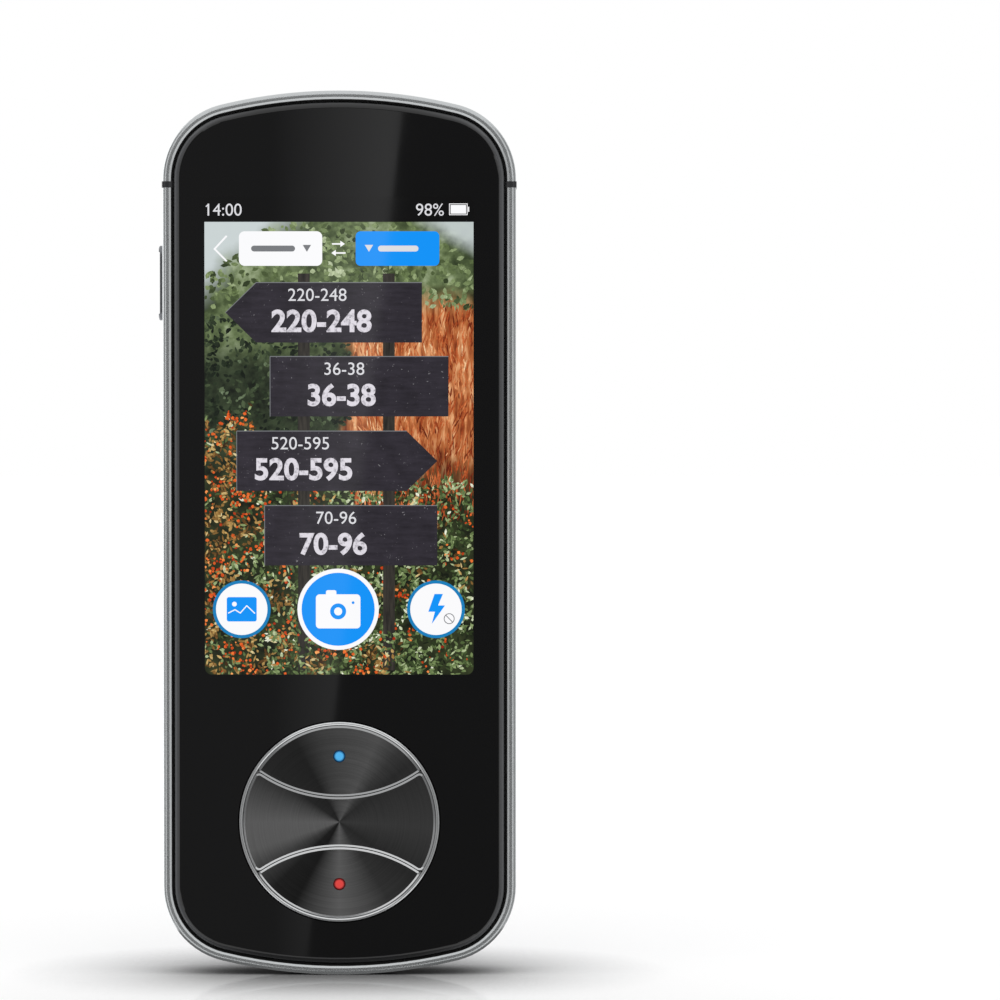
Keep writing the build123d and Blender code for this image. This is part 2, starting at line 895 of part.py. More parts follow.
# Flat cable from the key board, through the mid frame, to the lower board
key_slot_z = key_tab_z - connector_margin
key_flex_start = frame_front + flex_thickness / 2
key_flex_level = lower_board_front + flex_thickness / 2
with BuildPart() as key_flex:
    flex(
        [
            (key_tab_z, key_flex_start),
            (key_slot_z, key_flex_start),
            (key_slot_z, key_flex_level),
            (key_tab_z + connector_margin, key_flex_level),
        ],
        key_tab_x,
        key_tab_width,
    )
finish_piece(key_flex, "key_flex")

# ------------------------------------------------------------------------------------------------
# Rocker, its bracket and its two switches
# ------------------------------------------------------------------------------------------------

key_outer_x = -half_width - side_key_stand
key_flange_outer_x = -half_width + side_wall + side_key_inner_gap
key_flange_inner_x = key_flange_outer_x + side_key_flange_thickness
nose_x = key_flange_inner_x - fulcrum_seat + fulcrum_gap + fulcrum_radius
board_edge_x = -board_side


def side_plane(x):
    """A plane across the width at x, with the depth and the length as its axes."""
    return Plane.YZ.offset(x)


with BuildPart() as side_key:
    with BuildSketch(side_plane(key_outer_x)):
        with Locations((-side_key_y, side_key_z)):
            SlotOverall(side_key_length, side_key_height, rotation=90)
    extrude(amount=key_flange_outer_x - key_outer_x)
    fillet(side_key.faces().sort_by(Axis.X)[0].edges(), side_key_edge)
    # The touched face is dished between its two raised ends
    dish_length = side_key_length - 2 * side_key_end
    with BuildSketch(Plane.XZ.offset(side_key_y - side_key_height)):
        with Locations((key_outer_x, side_key_z)):
            RectangleRounded(2 * side_key_dish, dish_length, side_key_dish_corner)
    extrude(amount=2 * side_key_height, mode=Mode.SUBTRACT)
    with BuildSketch(side_plane(key_flange_outer_x)):
        with Locations((-side_key_y, side_key_z)):
            Rectangle(
                side_key_height + 2 * side_key_flange,
                side_key_length + 2 * (side_key_flange + side_key_gap),
            )
    extrude(amount=side_key_flange_thickness)
    # Round groove that seats the rocker on its bracket's nose
    post(
        nose_x,
        side_key_z,
        fulcrum_radius + fulcrum_gap,
        side_key_y - side_key_height,
        side_key_y + side_key_height,
        mode=Mode.SUBTRACT,
    )
finish_piece(side_key, "side_key")

# Bracket on the board's edge with a rounded nose that the rocker tilts on
with BuildPart() as side_key_bracket:
    slab(
        (nose_x + board_edge_x + fulcrum_depth) / 2,
        side_key_z,
        board_edge_x + fulcrum_depth - nose_x,
        fulcrum_width,
        main_board_front,
        main_board_front + side_switch_height,
    )
    post(nose_x, side_key_z, fulcrum_radius, main_board_front, main_board_front + side_switch_height)
finish_piece(side_key_bracket, "side_key_bracket")

switch_places = [side_key_z + side * side_switch_spacing / 2 for side in (-1, 1)]
switch_button_x = key_flange_inner_x + side_switch_button_gap
with BuildPart() as side_key_switches:
    for switch_z in switch_places:
        slab(
            board_edge_x + side_switch_depth / 2,
            switch_z,
            side_switch_depth,
            side_switch_length,
            main_board_front,
            main_board_front + side_switch_height,
        )
    with BuildSketch(side_plane(switch_button_x)) as buttons:
        with Locations([(-(main_board_front + side_switch_button_level), z) for z in switch_places]):
            Circle(side_switch_button_radius)
    extrude(buttons.sketch, amount=board_edge_x - switch_button_x)
finish_piece(side_key_switches, "side_key_switches")

# ------------------------------------------------------------------------------------------------
# Mid frame and its screws
# ------------------------------------------------------------------------------------------------

frame_inset = ledge_inset + frame_gap
usb_level = lower_board_back + lower_board_thickness / 2 + usb_lift
usb_back_z = -half_length + usb_recess + usb_length
all_bosses = cap_bosses + housing_bosses

with BuildPart() as mid_frame:
    outline_slab(frame_inset, frame_back, frame_front)
    for standoff in main_standoffs:
        post(*standoff, standoff_radius, main_board_front, frame_back)
    for standoff in lower_standoffs:
        post(*standoff, standoff_radius, lower_board_front, frame_back)
    for standoff in main_standoffs + lower_standoffs:
        post(*standoff, standoff_bore_radius, lower_board_front, frame_back, mode=Mode.SUBTRACT)
    for standoff in main_standoffs:
        post(*standoff, standoff_bore_radius, main_board_front, frame_back, mode=Mode.SUBTRACT)
    for boss_place in all_bosses:
        post(*boss_place, boss_bore_radius, frame_back, frame_front, mode=Mode.SUBTRACT)
        post(
            *boss_place,
            screw_head_radius + screw_head_gap,
            frame_front - screw_head_height,
            frame_front,
            mode=Mode.SUBTRACT,
        )
    # Slots for the display's and the keys' flat cables
    slab(
        display_flex_x,
        display_slot_z,
        display_flex_width + slot_gap,
        flex_thickness + 2 * slot_gap,
        frame_back,
        frame_front,
        mode=Mode.SUBTRACT,
    )
    slab(
        key_tab_x,
        key_slot_z,
        key_tab_width + slot_gap,
        flex_thickness + 2 * slot_gap,
        frame_back,
        frame_front,
        mode=Mode.SUBTRACT,
    )
    # Notch for the socket
    slab(
        0,
        -half_length,
        usb_width + 2 * slot_gap,
        2 * (usb_back_z + half_length + slot_gap),
        frame_back,
        frame_front,
        mode=Mode.SUBTRACT,
    )
finish_piece(mid_frame, "mid_frame")

with BuildPart() as frame_screws:
    for boss_place in all_bosses:
        post(*boss_place, screw_radius, frame_front - screw_length, frame_front - screw_head_height)
        post(*boss_place, screw_head_radius, frame_front - screw_head_height, frame_front)
        with BuildSketch(level(frame_front - screw_drive_depth)) as drive:
            with Locations(boss_place):
                RegularPolygon(screw_drive_radius, screw_drive_sides)
        extrude(drive.sketch, amount=screw_drive_depth, mode=Mode.SUBTRACT)
finish_piece(frame_screws, "frame_screws")

# ------------------------------------------------------------------------------------------------
# Main board
# ------------------------------------------------------------------------------------------------

with BuildPart() as main_board:
    outline_slab(board_inset, main_board_back, main_board_front)
    split(bisect_by=Plane.XY.offset(main_board_low), keep=Keep.TOP)
    module_hole = module_size + 2 * module_clearance
    slab(
        lens_x,
        camera_z,
        module_hole,
        module_hole,
        main_board_back,
        main_board_front,
        mode=Mode.SUBTRACT,
    )
    for boss_place in all_bosses:
        notch_radius = boss_radius + board_notch_gap
        post(*boss_place, notch_radius, main_board_back, main_board_front, mode=Mode.SUBTRACT)
    for standoff in main_standoffs:
        post(*standoff, board_screw_hole_radius, main_board_back, main_board_front, mode=Mode.SUBTRACT)
finish_piece(main_board, "main_board")

# Shield cans on the back of the board and the chips inside them: centre x, width and length
shield_low = main_board_low + shield_rise
processor_shield_x = processor_shield_inset + processor_shield_width / 2 - board_side
radio_shield_x = board_side - radio_shield_inset - radio_shield_width / 2
shields = [
    (processor_shield_x, processor_shield_width, processor_shield_length),
    (radio_shield_x, radio_shield_width, radio_shield_length),
]
shield_back = main_board_back - shield_height

with BuildPart() as shield_cans:
    for x, width, length in shields:
        z = shield_low + length / 2
        slab(x, z, width, length, shield_back, main_board_back, corner=shield_corner)
    for x, width, length in shields:
        z = shield_low + length / 2
        slab(
            x,
            z,
            width - 2 * shield_wall,
            length - 2 * shield_wall,
            shield_back + shield_wall,
            main_board_back,
            mode=Mode.SUBTRACT,
        )
finish_piece(shield_cans, "shield_cans")

with BuildPart() as board_chips:
    for x, width, length in shields:
        z = shield_low + length / 2
        slab(
            x,
            z,
            width - 2 * chip_margin,
            length - 2 * chip_margin,
            main_board_back - chip_height,
            main_board_back,
        )
finish_piece(board_chips, "board_chips")

# Connectors for flat cables: two on the front of the main board, and one for the link cable on the
# back of each board
link_top_z = main_board_low + connector_margin + connector_depth / 2
link_low_z = lower_board_high - connector_margin - connector_depth / 2
with BuildPart() as board_connectors:
    for x, z, width in (
        (lens_x, camera_connector_z, link_width),
        (display_flex_x, display_connector_z, display_flex_width),
    ):
        slab(x, z, width, connector_depth, main_board_front, main_board_front + connector_height)
    for z, board_back in ((link_top_z, main_board_back), (link_low_z, lower_board_back)):
        slab(link_x, z, link_width, connector_depth, board_back - connector_height, board_back)
finish_piece(board_connectors, "board_connectors")

with BuildPart() as board_screws:
    for places, board_back in ((main_standoffs, main_board_back), (lower_standoffs, lower_board_back)):
        for place in places:
            head_back = board_back - board_screw_head_height
            post(*place, board_screw_head_radius, head_back, board_back)
            post(*place, board_screw_radius, board_back, board_back + board_thickness + board_screw_depth)
finish_piece(board_screws, "board_screws")

# Aerial film on the back of the mid frame, inside the top cap
with BuildPart() as wifi_antenna:
    wifi_z = half_length - wifi_drop
    slab(wifi_x, wifi_z, wifi_length, wifi_width, frame_back - flex_thickness, frame_back)
finish_piece(wifi_antenna, "wifi_antenna")

# ------------------------------------------------------------------------------------------------
# Battery
# ------------------------------------------------------------------------------------------------

battery_back = back_wall + battery_lift
battery_front = frame_back - battery_tape_thickness
battery_low = lower_board_high + battery_gap
battery_high = main_board_low - battery_gap
battery_width = 2 * (boss_x - boss_radius - battery_side_gap)
battery_length = battery_high - battery_low
battery_z = (battery_high + battery_low) / 2

with BuildPart() as battery:
    slab(0, battery_z, battery_width, battery_length, battery_back, battery_front)
    fillet(battery.edges().filter_by(Axis.Z), battery_edge)
finish_piece(battery, "battery")

with BuildPart() as battery_tape:
    slab(
        0,
        battery_z,
        battery_width - 2 * battery_tape_margin,
        battery_length - 2 * battery_tape_margin,
        battery_front,
        frame_back,
    )
finish_piece(battery_tape, "battery_tape")

plug_z = main_board_low + battery_plug_depth / 2
wire_level = main_board_front + battery_plug_height / 2
with BuildPart() as battery_plug:
    slab(
        battery_plug_x,
        plug_z,
        battery_plug_width,
        battery_plug_depth,
        main_board_front,
        main_board_front + battery_plug_height,
    )
finish_piece(battery_plug, "battery_plug")

with BuildPart() as battery_lead:
    with BuildSketch(Plane.XY.offset(battery_high)) as wires:
        with Locations((battery_plug_x, -wire_level)):
            with GridLocations(battery_wire_pitch, 0, battery_wire_count, 1):
                Circle(battery_wire_radius)
    extrude(wires.sketch, amount=battery_gap)
finish_piece(battery_lead, "battery_lead")

# Flat cable behind the battery that links the two boards
link_top_level = main_board_back - connector_height - flex_thickness / 2
link_level = battery_back - flex_thickness / 2
link_low_level = lower_board_back - connector_height - flex_thickness / 2
with BuildPart() as link_flex:
    flex(
        [
            (link_top_z + connector_depth / 2, link_top_level),
            (battery_high + battery_gap / 2, link_top_level),
            (battery_high - battery_gap / 2, link_level),
            (battery_low - link_bend_gap, link_level),
            (battery_low - battery_gap, link_low_level),
            (link_low_z - connector_depth / 2, link_low_level),
        ],
        link_x,
        link_width,
    )
finish_piece(link_flex, "link_flex")

# ------------------------------------------------------------------------------------------------
# Lower board, speaker and socket
# ------------------------------------------------------------------------------------------------

with BuildPart() as lower_board:
    outline_slab(board_inset, lower_board_back, lower_board_front)
    split(bisect_by=Plane.XY.offset(lower_board_high), keep=Keep.BOTTOM)
    for boss_place in all_bosses:
        notch_radius = boss_radius + board_notch_gap
        post(*boss_place, notch_radius, lower_board_back, lower_board_front, mode=Mode.SUBTRACT)
    for standoff in lower_standoffs:
        post(*standoff, board_screw_hole_radius, lower_board_back, lower_board_front, mode=Mode.SUBTRACT)
    slab(
        0,
        -half_length,
        usb_width + 2 * usb_gap,
        2 * (usb_back_z + half_length + usb_gap),
        lower_board_back,
        lower_board_front,
        mode=Mode.SUBTRACT,
    )
finish_piece(lower_board, "lower_board")

with BuildPart() as speaker:
    slab(0, speaker_z, speaker_length, speaker_width, speaker_back, lower_board_back, speaker_corner)
    slab(
        0,
        speaker_z,
        speaker_length - 2 * speaker_gasket_width,
        speaker_width - 2 * speaker_gasket_width,
        speaker_back,
        speaker_back + speaker_gasket_thickness,
        corner=speaker_corner,
        mode=Mode.SUBTRACT,
    )
finish_piece(speaker, "speaker")

# Foam frame that seals the speaker against the mesh
mesh_front = back_wall + speaker_mesh_thickness
with BuildPart() as speaker_gasket:
    slab(0, speaker_z, speaker_length, speaker_width, mesh_front, speaker_back, speaker_corner)
    slab(
        0,
        speaker_z,
        speaker_length - 2 * speaker_gasket_width,
        speaker_width - 2 * speaker_gasket_width,
        mesh_front,
        speaker_back,
        corner=speaker_corner,
        mode=Mode.SUBTRACT,
    )
finish_piece(speaker_gasket, "speaker_gasket")

with BuildPart() as speaker_mesh:
    slab(0, speaker_z, speaker_length, speaker_width, back_wall, mesh_front, speaker_corner)
finish_piece(speaker_mesh, "speaker_mesh")

# Socket: a rolled shell, closed behind, with a tongue inside
usb_front_z = -half_length + usb_recess
with BuildPart() as usb_socket:
    with BuildSketch(Plane.XY.offset(usb_front_z)) as usb_shell:
        with Locations((0, -usb_level)):
            RectangleRounded(usb_width, usb_height, usb_corner)
            RectangleRounded(
                usb_width - 2 * usb_wall,
                usb_height - 2 * usb_wall,
                usb_corner - usb_wall,
                mode=Mode.SUBTRACT,
            )
    extrude(usb_shell.sketch, amount=usb_length)
    with BuildSketch(Plane.XY.offset(usb_back_z - usb_back_thickness)) as usb_back:
        with Locations((0, -usb_level)):
            RectangleRounded(usb_width, usb_height, usb_corner)
    extrude(usb_back.sketch, amount=usb_back_thickness)
    with BuildSketch(Plane.XY.offset(usb_front_z + usb_tongue_setback)) as usb_tongue:
        with Locations((0, -usb_level)):
            Rectangle(usb_tongue_width, usb_tongue_thickness)
    extrude(usb_tongue.sketch, amount=usb_length - usb_tongue_setback)
finish_piece(usb_socket, "usb_socket")

# ------------------------------------------------------------------------------------------------
# Microphones
# ------------------------------------------------------------------------------------------------

rear_mic_back = main_board_back - mic_height
with BuildPart() as rear_microphone:
    slab(rear_mic_x, camera_z, mic_length, mic_width, rear_mic_back, main_board_back)
finish_piece(rear_microphone, "rear_microphone")

# Rubber tube between the back wall and the rear microphone
with BuildPart() as rear_microphone_boot:
    post(rear_mic_x, camera_z, mic_boot_radius, back_wall, rear_mic_back)
    post(rear_mic_x, camera_z, mic_hole_radius, back_wall, rear_mic_back, mode=Mode.SUBTRACT)
finish_piece(rear_microphone_boot, "rear_microphone_boot")

voice_mic_low = -half_length + voice_mic_rise
with BuildPart() as voice_microphone:
    slab(
        voice_mic_x,
        voice_mic_low + mic_width / 2,
        mic_length,
        mic_width,
        lower_board_front,
        lower_board_front + mic_height,
    )
finish_piece(voice_microphone, "voice_microphone")

# Rubber tube between the lower end wall and the voice microphone
boot_reach = abs(voice_mic_x) + voice_boot_radius
end_bow = end_radius - sqrt(end_radius**2 - boot_reach**2)
voice_boot_low = -half_length + side_wall + end_bow + voice_boot_gap
with BuildPart() as voice_microphone_boot:
    with BuildSketch(Plane.XY.offset(voice_boot_low)):
        with Locations((voice_mic_x, -(lower_board_front + mic_height / 2))):
            Circle(voice_boot_radius)
            Circle(voice_hole_radius, mode=Mode.SUBTRACT)
    extrude(amount=voice_mic_low - voice_boot_low)
finish_piece(voice_microphone_boot, "voice_microphone_boot")
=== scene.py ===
from math import cos, hypot, pi, radians, sin
from random import Random

import bpy
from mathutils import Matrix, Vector, noise


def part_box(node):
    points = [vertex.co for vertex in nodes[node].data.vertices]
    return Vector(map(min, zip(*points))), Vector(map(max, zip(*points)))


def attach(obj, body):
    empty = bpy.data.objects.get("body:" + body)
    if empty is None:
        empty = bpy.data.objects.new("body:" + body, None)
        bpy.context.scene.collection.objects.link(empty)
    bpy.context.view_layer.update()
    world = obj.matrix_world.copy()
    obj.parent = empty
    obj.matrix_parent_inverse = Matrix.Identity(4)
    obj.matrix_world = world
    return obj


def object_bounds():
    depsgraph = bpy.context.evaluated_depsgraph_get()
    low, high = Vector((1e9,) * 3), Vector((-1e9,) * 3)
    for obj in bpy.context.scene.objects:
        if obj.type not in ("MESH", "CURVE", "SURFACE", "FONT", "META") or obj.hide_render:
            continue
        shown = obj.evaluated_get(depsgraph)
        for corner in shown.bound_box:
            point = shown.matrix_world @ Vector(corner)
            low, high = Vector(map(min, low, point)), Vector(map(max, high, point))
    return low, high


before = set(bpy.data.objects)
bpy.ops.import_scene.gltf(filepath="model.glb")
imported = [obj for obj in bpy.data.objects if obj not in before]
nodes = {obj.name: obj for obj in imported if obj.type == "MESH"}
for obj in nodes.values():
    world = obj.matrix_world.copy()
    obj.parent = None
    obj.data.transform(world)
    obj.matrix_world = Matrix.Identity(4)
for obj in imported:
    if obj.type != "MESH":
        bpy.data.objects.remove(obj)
cad_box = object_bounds()

# ------------------------------------------------------------------------------------------------
# Metal casing and side rocker
# ------------------------------------------------------------------------------------------------
# The rear housing and the cap above the aerial strip are milled from aluminium, blasted and
# anodised blue-grey, and painted shade darkens them towards the foot. The rim is then cut bright,
# and the inner wall of the gap inside it is painted black as shade. The rocker is of the same
# metal, anodised in a darker neutral grey.


def chip(red, green, blue):
    """Linear colour of a paint chip whose red, green and blue run from 0 to 255."""
    return tuple(((c / 255 + 0.055) / 1.055) ** 2.4 for c in (red, green, blue)) + (1.0,)


class Signal:
    """A shader socket that can be reckoned with: each operator adds its Math node."""

    def __init__(self, finish, socket):
        self.finish = finish
        self.socket = socket

    def math(self, operation, *others):
        return self.finish.node("ShaderNodeMath", {"operation": operation}, [self, *others])

    def __add__(self, other):
        return self.math("ADD", other)

    def __sub__(self, other):
        return self.math("SUBTRACT", other)

    def __rsub__(self, other):
        return self * -1 + other

    def __mul__(self, other):
        return self.math("MULTIPLY", other)

    def __truediv__(self, other):
        return self.math("DIVIDE", other)

    def __gt__(self, other):
        return self.math("GREATER_THAN", other)

    def __lt__(self, other):
        return self.math("LESS_THAN", other)

    __radd__ = __add__
    __rmul__ = __mul__

    def size(self):
        return self.math("ABSOLUTE")

    def both(self, other):
        """The length of the vector that has this signal and another as its two sides."""
        return (self * self + other * other).math("SQRT")

    def step(self, low, high):
        """0 below low, 1 above high and a smooth rise between them."""
        return self.finish.node(
            "ShaderNodeMapRange",
            {"interpolation_type": "SMOOTHSTEP"},
            {"Value": self, "From Min": low, "From Max": high},
        )


class Finish:
    """A surface finish: a material whose nodes are added one call at a time."""

    def __init__(self, name):
        self.material = bpy.data.materials.new(name)
        self.material.use_nodes = True
        self.tree = self.material.node_tree
        self.shader = self.tree.nodes["Principled BSDF"]
        place = self.node("ShaderNodeTexCoord", output="Object")
        self.place = self.node(
            "ShaderNodeVectorMath", {"operation": "SCALE"}, {"Vector": place, "Scale": 1000.0}
        )
        split = self.node("ShaderNodeSeparateXYZ", inputs=[self.place])
        self.across = split
        self.height = Signal(self, split.socket.node.outputs["Y"]) * -1
        self.along = Signal(self, split.socket.node.outputs["Z"])

    def node(self, kind, settings=None, inputs=(), output=0):
        """Adds a node, sets it up, feeds its sockets with values or links, returns an output."""
        made = self.tree.nodes.new(kind)
        for name, value in (settings or {}).items():
            if name == "stops":
                while len(made.color_ramp.elements) < len(value):
                    made.color_ramp.elements.new(1.0)
                for element, (position, shade) in zip(made.color_ramp.elements, value):
                    element.position = position
                    element.color = shade
            else:
                setattr(made, name, value)
        pairs = inputs.items() if isinstance(inputs, dict) else enumerate(inputs)
        for key, value in pairs:
            self.feed(made.inputs[key], value)
        return Signal(self, made.outputs[output])

    def feed(self, socket, value):
        if isinstance(value, Signal):
            self.tree.links.new(value.socket, socket)
        else:
            socket.default_value = value

    def surface(self, **inputs):
        """Feeds the shader's sockets, whose names are written with underscores."""
        for name, value in inputs.items():
            self.feed(self.shader.inputs[name.replace("_", " ")], value)

    def noise(self, scale, detail=2.0, roughness=0.5, place=None):
        """Cloudy variation from 0 to 1, with scale in clouds per millimetre."""
        return self.node(
            "ShaderNodeTexNoise",
            inputs={
                "Vector": place or self.place,
                "Scale": scale,
                "Detail": detail,
                "Roughness": roughness,
            },
        )

    def stretched(self, x, y, z):
        """The place in millimetres, with each axis scaled by itself."""
        return self.node(
            "ShaderNodeVectorMath", {"operation": "MULTIPLY"}, [self.place, (x, y, z)]
        )

    def ramp(self, value, *stops):
        return self.node("ShaderNodeValToRGB", {"stops": stops}, [value])

    def mix(self, factor, first, second, blend="MIX"):
        settings = {"data_type": "RGBA", "blend_type": blend}
        return self.node("ShaderNodeMix", settings, {0: factor, 6: first, 7: second}, output=2)

    def bump(self, height, depth, strength=1.0):
        """Relief of a depth in millimetres."""
        relief = self.node(
            "ShaderNodeBump",
            inputs={"Strength": strength, "Distance": depth / 1000, "Height": height},
        )
        self.surface(Normal=relief)


def dress(finish, *names):
    """Gives CAD nodes a finish in place of their plain one."""
    for name in names:
        nodes[name].data.materials.clear()
        nodes[name].data.materials.append(finish.material)


bright_edge_height = 10.9
bright_edge_blend = 0.1
gap_shade_low, gap_shade_high = 10.7, 11.42
half_length = 64.0
blasted = Finish("blasted_aluminium")
grains = blasted.noise(6.0, detail=3.0, roughness=0.6)
# Painted shade: the anodised colour grows darker towards the foot, mixed with the grain of the
# blast
painted_shade_from_foot = (blasted.along + half_length) / (2 * half_length)
cut_edge = blasted.height.step(bright_edge_height, bright_edge_height + bright_edge_blend)
anodised_with_painted_shade = blasted.ramp(
    painted_shade_from_foot * 0.5 + grains * 0.5, (0.2, chip(136, 139, 148)), (0.8, chip(157, 160, 169))
)
facing = blasted.node("ShaderNodeTexCoord", output="Normal")
from_axis = blasted.stretched(1, 0, 1)
outward = blasted.node(
    "ShaderNodeVectorMath", {"operation": "DOT_PRODUCT"}, [from_axis, facing], "Value"
)
# Painted shade: the inward wall of the rim near the glass is painted black, matt and not metallic
painted_gap_shade = (blasted.height > gap_shade_low) * (blasted.height < gap_shade_high) * (outward < 1.0)
blasted.surface(
    Base_Color=blasted.mix(
        painted_gap_shade, blasted.mix(cut_edge, anodised_with_painted_shade, chip(196, 199, 200)), chip(5, 5, 6)
    ),
    Metallic=1 - painted_gap_shade,
    Roughness=0.29 + grains * 0.08 - cut_edge * 0.06 + painted_gap_shade * 0.3,
)
blasted.bump(grains * (1 - cut_edge), 0.004, 0.4)
dress(blasted, "rear_housing", "top_cap")

rocker = Finish("anodised_rocker")
rocker_grains = rocker.noise(6.0, detail=3.0, roughness=0.6)
rocker.surface(
    Base_Color=rocker.ramp(rocker_grains, (0.3, chip(124, 126, 129)), (0.7, chip(140, 142, 145))),
    Metallic=1.0,
    Roughness=0.3 + rocker_grains * 0.08,
)
rocker.bump(rocker_grains, 0.006, 0.5)
dress(rocker, "side_key")

# ------------------------------------------------------------------------------------------------
# Aerial strip
# ------------------------------------------------------------------------------------------------
# The band that parts the cap from the housing is moulded in black glass-filled plastic, flush with
# the metal behind and a hair proud at the sides. It also rings the camera and the microphone hole.

moulded = Finish("moulded_plastic")
speckle = moulded.noise(9.0, detail=2.0)
moulded.surface(
    Base_Color=moulded.ramp(speckle, (0.2, chip(26, 27, 29)), (0.8, chip(38, 39, 42))),
    Roughness=0.26 + speckle * 0.1,
)
moulded.bump(speckle, 0.004, 0.4)
dress(moulded, "antenna_strip")

# ------------------------------------------------------------------------------------------------
# Speaker
# ------------------------------------------------------------------------------------------------
# Behind the sound holes lie a woven acoustic cloth, a foam frame and the sealed speaker box. The
# cloth is glued over the holes from inside, and shows as black dots from behind.

thread_pitch = 0.12


def weave(finish, pitch):
    """Height of a plain weave whose threads run across and along."""
    warp = (finish.across * (pi / pitch)).math("SINE")
    weft = (finish.along * (pi / pitch)).math("SINE")
    return (warp * weft).size()


cloth = Finish("acoustic_cloth")
threads = weave(cloth, thread_pitch)
cloth.surface(
    Base_Color=cloth.ramp(threads, (0.0, chip(9, 9, 11)), (1.0, chip(30, 30, 34))),
    Roughness=0.85,
)
cloth.bump(threads, 0.03)
dress(cloth, "speaker_mesh")

sponge = Finish("closed_cell_foam")
pores = sponge.noise(14.0, detail=3.0)
sponge.surface(
    Base_Color=sponge.ramp(pores, (0.3, chip(16, 16, 17)), (0.7, chip(42, 42, 44))),
    Roughness=0.95,
)
sponge.bump(pores, 0.05)
dress(sponge, "speaker_gasket", "camera_gasket", "camera_pad")

casting = Finish("black_casting_resin")
flow = casting.noise(1.6, detail=4.0)
casting.surface(
    Base_Color=casting.ramp(flow, (0.2, chip(24, 24, 26)), (0.8, chip(40, 40, 42))),
    Roughness=0.5 + flow * 0.15,
)
casting.bump(flow, 0.01, 0.3)
dress(casting, "speaker", "camera_module", "board_connectors", "battery_plug", "side_key_bracket")
dress(casting, "board_chips")

silicone = Finish("silicone_rubber")
bloom = silicone.noise(3.0, detail=3.0)
silicone.surface(
    Base_Color=silicone.ramp(bloom, (0.2, chip(30, 30, 31)), (0.8, chip(52, 52, 54))),
    Roughness=0.6 + bloom * 0.2,
)
dress(silicone, "rear_microphone_boot", "voice_microphone_boot")

# ------------------------------------------------------------------------------------------------
# Camera group
# ------------------------------------------------------------------------------------------------
# A polished steel bezel holds a black-backed glass window. The window has a clear disc over the
# lens, and a moulded light guide with a prism face over the flash LED.

lens_low, lens_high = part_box("camera_lens")
lens_across = (lens_low.x + lens_high.x) * 500
lens_along = (lens_low.z + lens_high.z) * 500
lens_radius = 2.0

polished = Finish("polished_steel")
hairlines = polished.noise(2.0, detail=4.0, roughness=0.7, place=polished.stretched(1.0, 1.0, 8.0))
polished.surface(
    Base_Color=polished.ramp(hairlines, (0.2, chip(206, 208, 209)), (0.8, chip(222, 223, 224))),
    Metallic=1.0,
    Roughness=0.13 + hairlines * 0.08,
)
dress(polished, "camera_bezel", "key_ring")

black_glass = Finish("black_backed_glass")
smudges = black_glass.noise(0.09, detail=4.0, roughness=0.6)
black_glass.surface(
    Base_Color=black_glass.ramp(smudges, (0.3, chip(4, 4, 5)), (0.8, chip(9, 9, 10))),
    Roughness=0.015 + smudges * 0.02,
    IOR=1.5,
)
dress(black_glass, "camera_window")

clear_disc = Finish("clear_glass")
clear_disc.surface(
    Base_Color=clear_disc.ramp(
        clear_disc.noise(0.5), (0.3, chip(236, 242, 252)), (0.7, chip(248, 250, 255))
    ),
    Roughness=0.0,
    Transmission_Weight=1.0,
    IOR=1.45,
)
dress(clear_disc, "camera_lens_cover")

coated = Finish("coated_lens")
from_lens_axis = (coated.across - lens_across).both(coated.along - lens_along)
# Painted highlight: a bright blue middle fading to black at the edge, also fed to emission so it
# glows
painted_glint_and_glow = coated.ramp(
    from_lens_axis / lens_radius,
    (0.0, chip(150, 165, 255)),
    (0.2, chip(70, 88, 210)),
    (0.42, chip(26, 52, 120)),
    (0.7, chip(12, 26, 52)),
    (1.0, chip(5, 8, 14)),
)
coated.surface(
    Base_Color=painted_glint_and_glow,
    Metallic=0.4,
    Roughness=0.04 + from_lens_axis * 0.01,
    Coat_Weight=1.0,
    Coat_Roughness=0.02,
    Emission_Color=painted_glint_and_glow,
    Emission_Strength=0.35,
)
dress(coated, "camera_lens")

prism_pitch = 0.42
diffuser = Finish("flash_light_guide")
prisms = weave(diffuser, prism_pitch)
warmth = diffuser.noise(0.8, detail=2.0)
diffuser.surface(
    Base_Color=diffuser.mix(
        prisms * 0.35,
        diffuser.ramp(warmth, (0.4, chip(236, 232, 196)), (0.62, chip(238, 214, 202))),
        chip(200, 196, 160),
    ),
    Roughness=0.25 + prisms * 0.15,
    Subsurface_Weight=0.3,
    Subsurface_Scale=0.001,
)
diffuser.bump(prisms, 0.06)
dress(diffuser, "flash_lens")

phosphor = Finish("led_package")
dusting = phosphor.noise(8.0, detail=3.0)
phosphor.surface(
    Base_Color=phosphor.ramp(dusting, (0.3, chip(232, 222, 150)), (0.7, chip(246, 240, 190))),
    Roughness=0.5,
)
dress(phosphor, "flash_led", "key_leds")

# ------------------------------------------------------------------------------------------------
# Boards, flat cables and battery
# ------------------------------------------------------------------------------------------------
# Both boards are green glass-fibre laminate with copper tracks under the solder mask. Steel cans
# cover the chips, amber polyimide cables join the boards, and a foil pouch cell fills the middle.

laminate = Finish("solder_mask")
track_cells = laminate.node(
    "ShaderNodeTexVoronoi",
    {"distance": "MANHATTAN", "feature": "DISTANCE_TO_EDGE"},
    {"Vector": laminate.place, "Scale": 0.7},
)
tracks = 1 - track_cells.step(0.04, 0.09)
fibres = laminate.noise(5.0, detail=2.0)
laminate.surface(
    Base_Color=laminate.mix(
        tracks,
        laminate.ramp(fibres, (0.3, chip(12, 66, 40)), (0.7, chip(18, 84, 50))),
        chip(44, 122, 74),
    ),
    Roughness=0.35 + fibres * 0.1,
)
laminate.bump(tracks, 0.03)
dress(laminate, "main_board", "lower_board", "key_board")

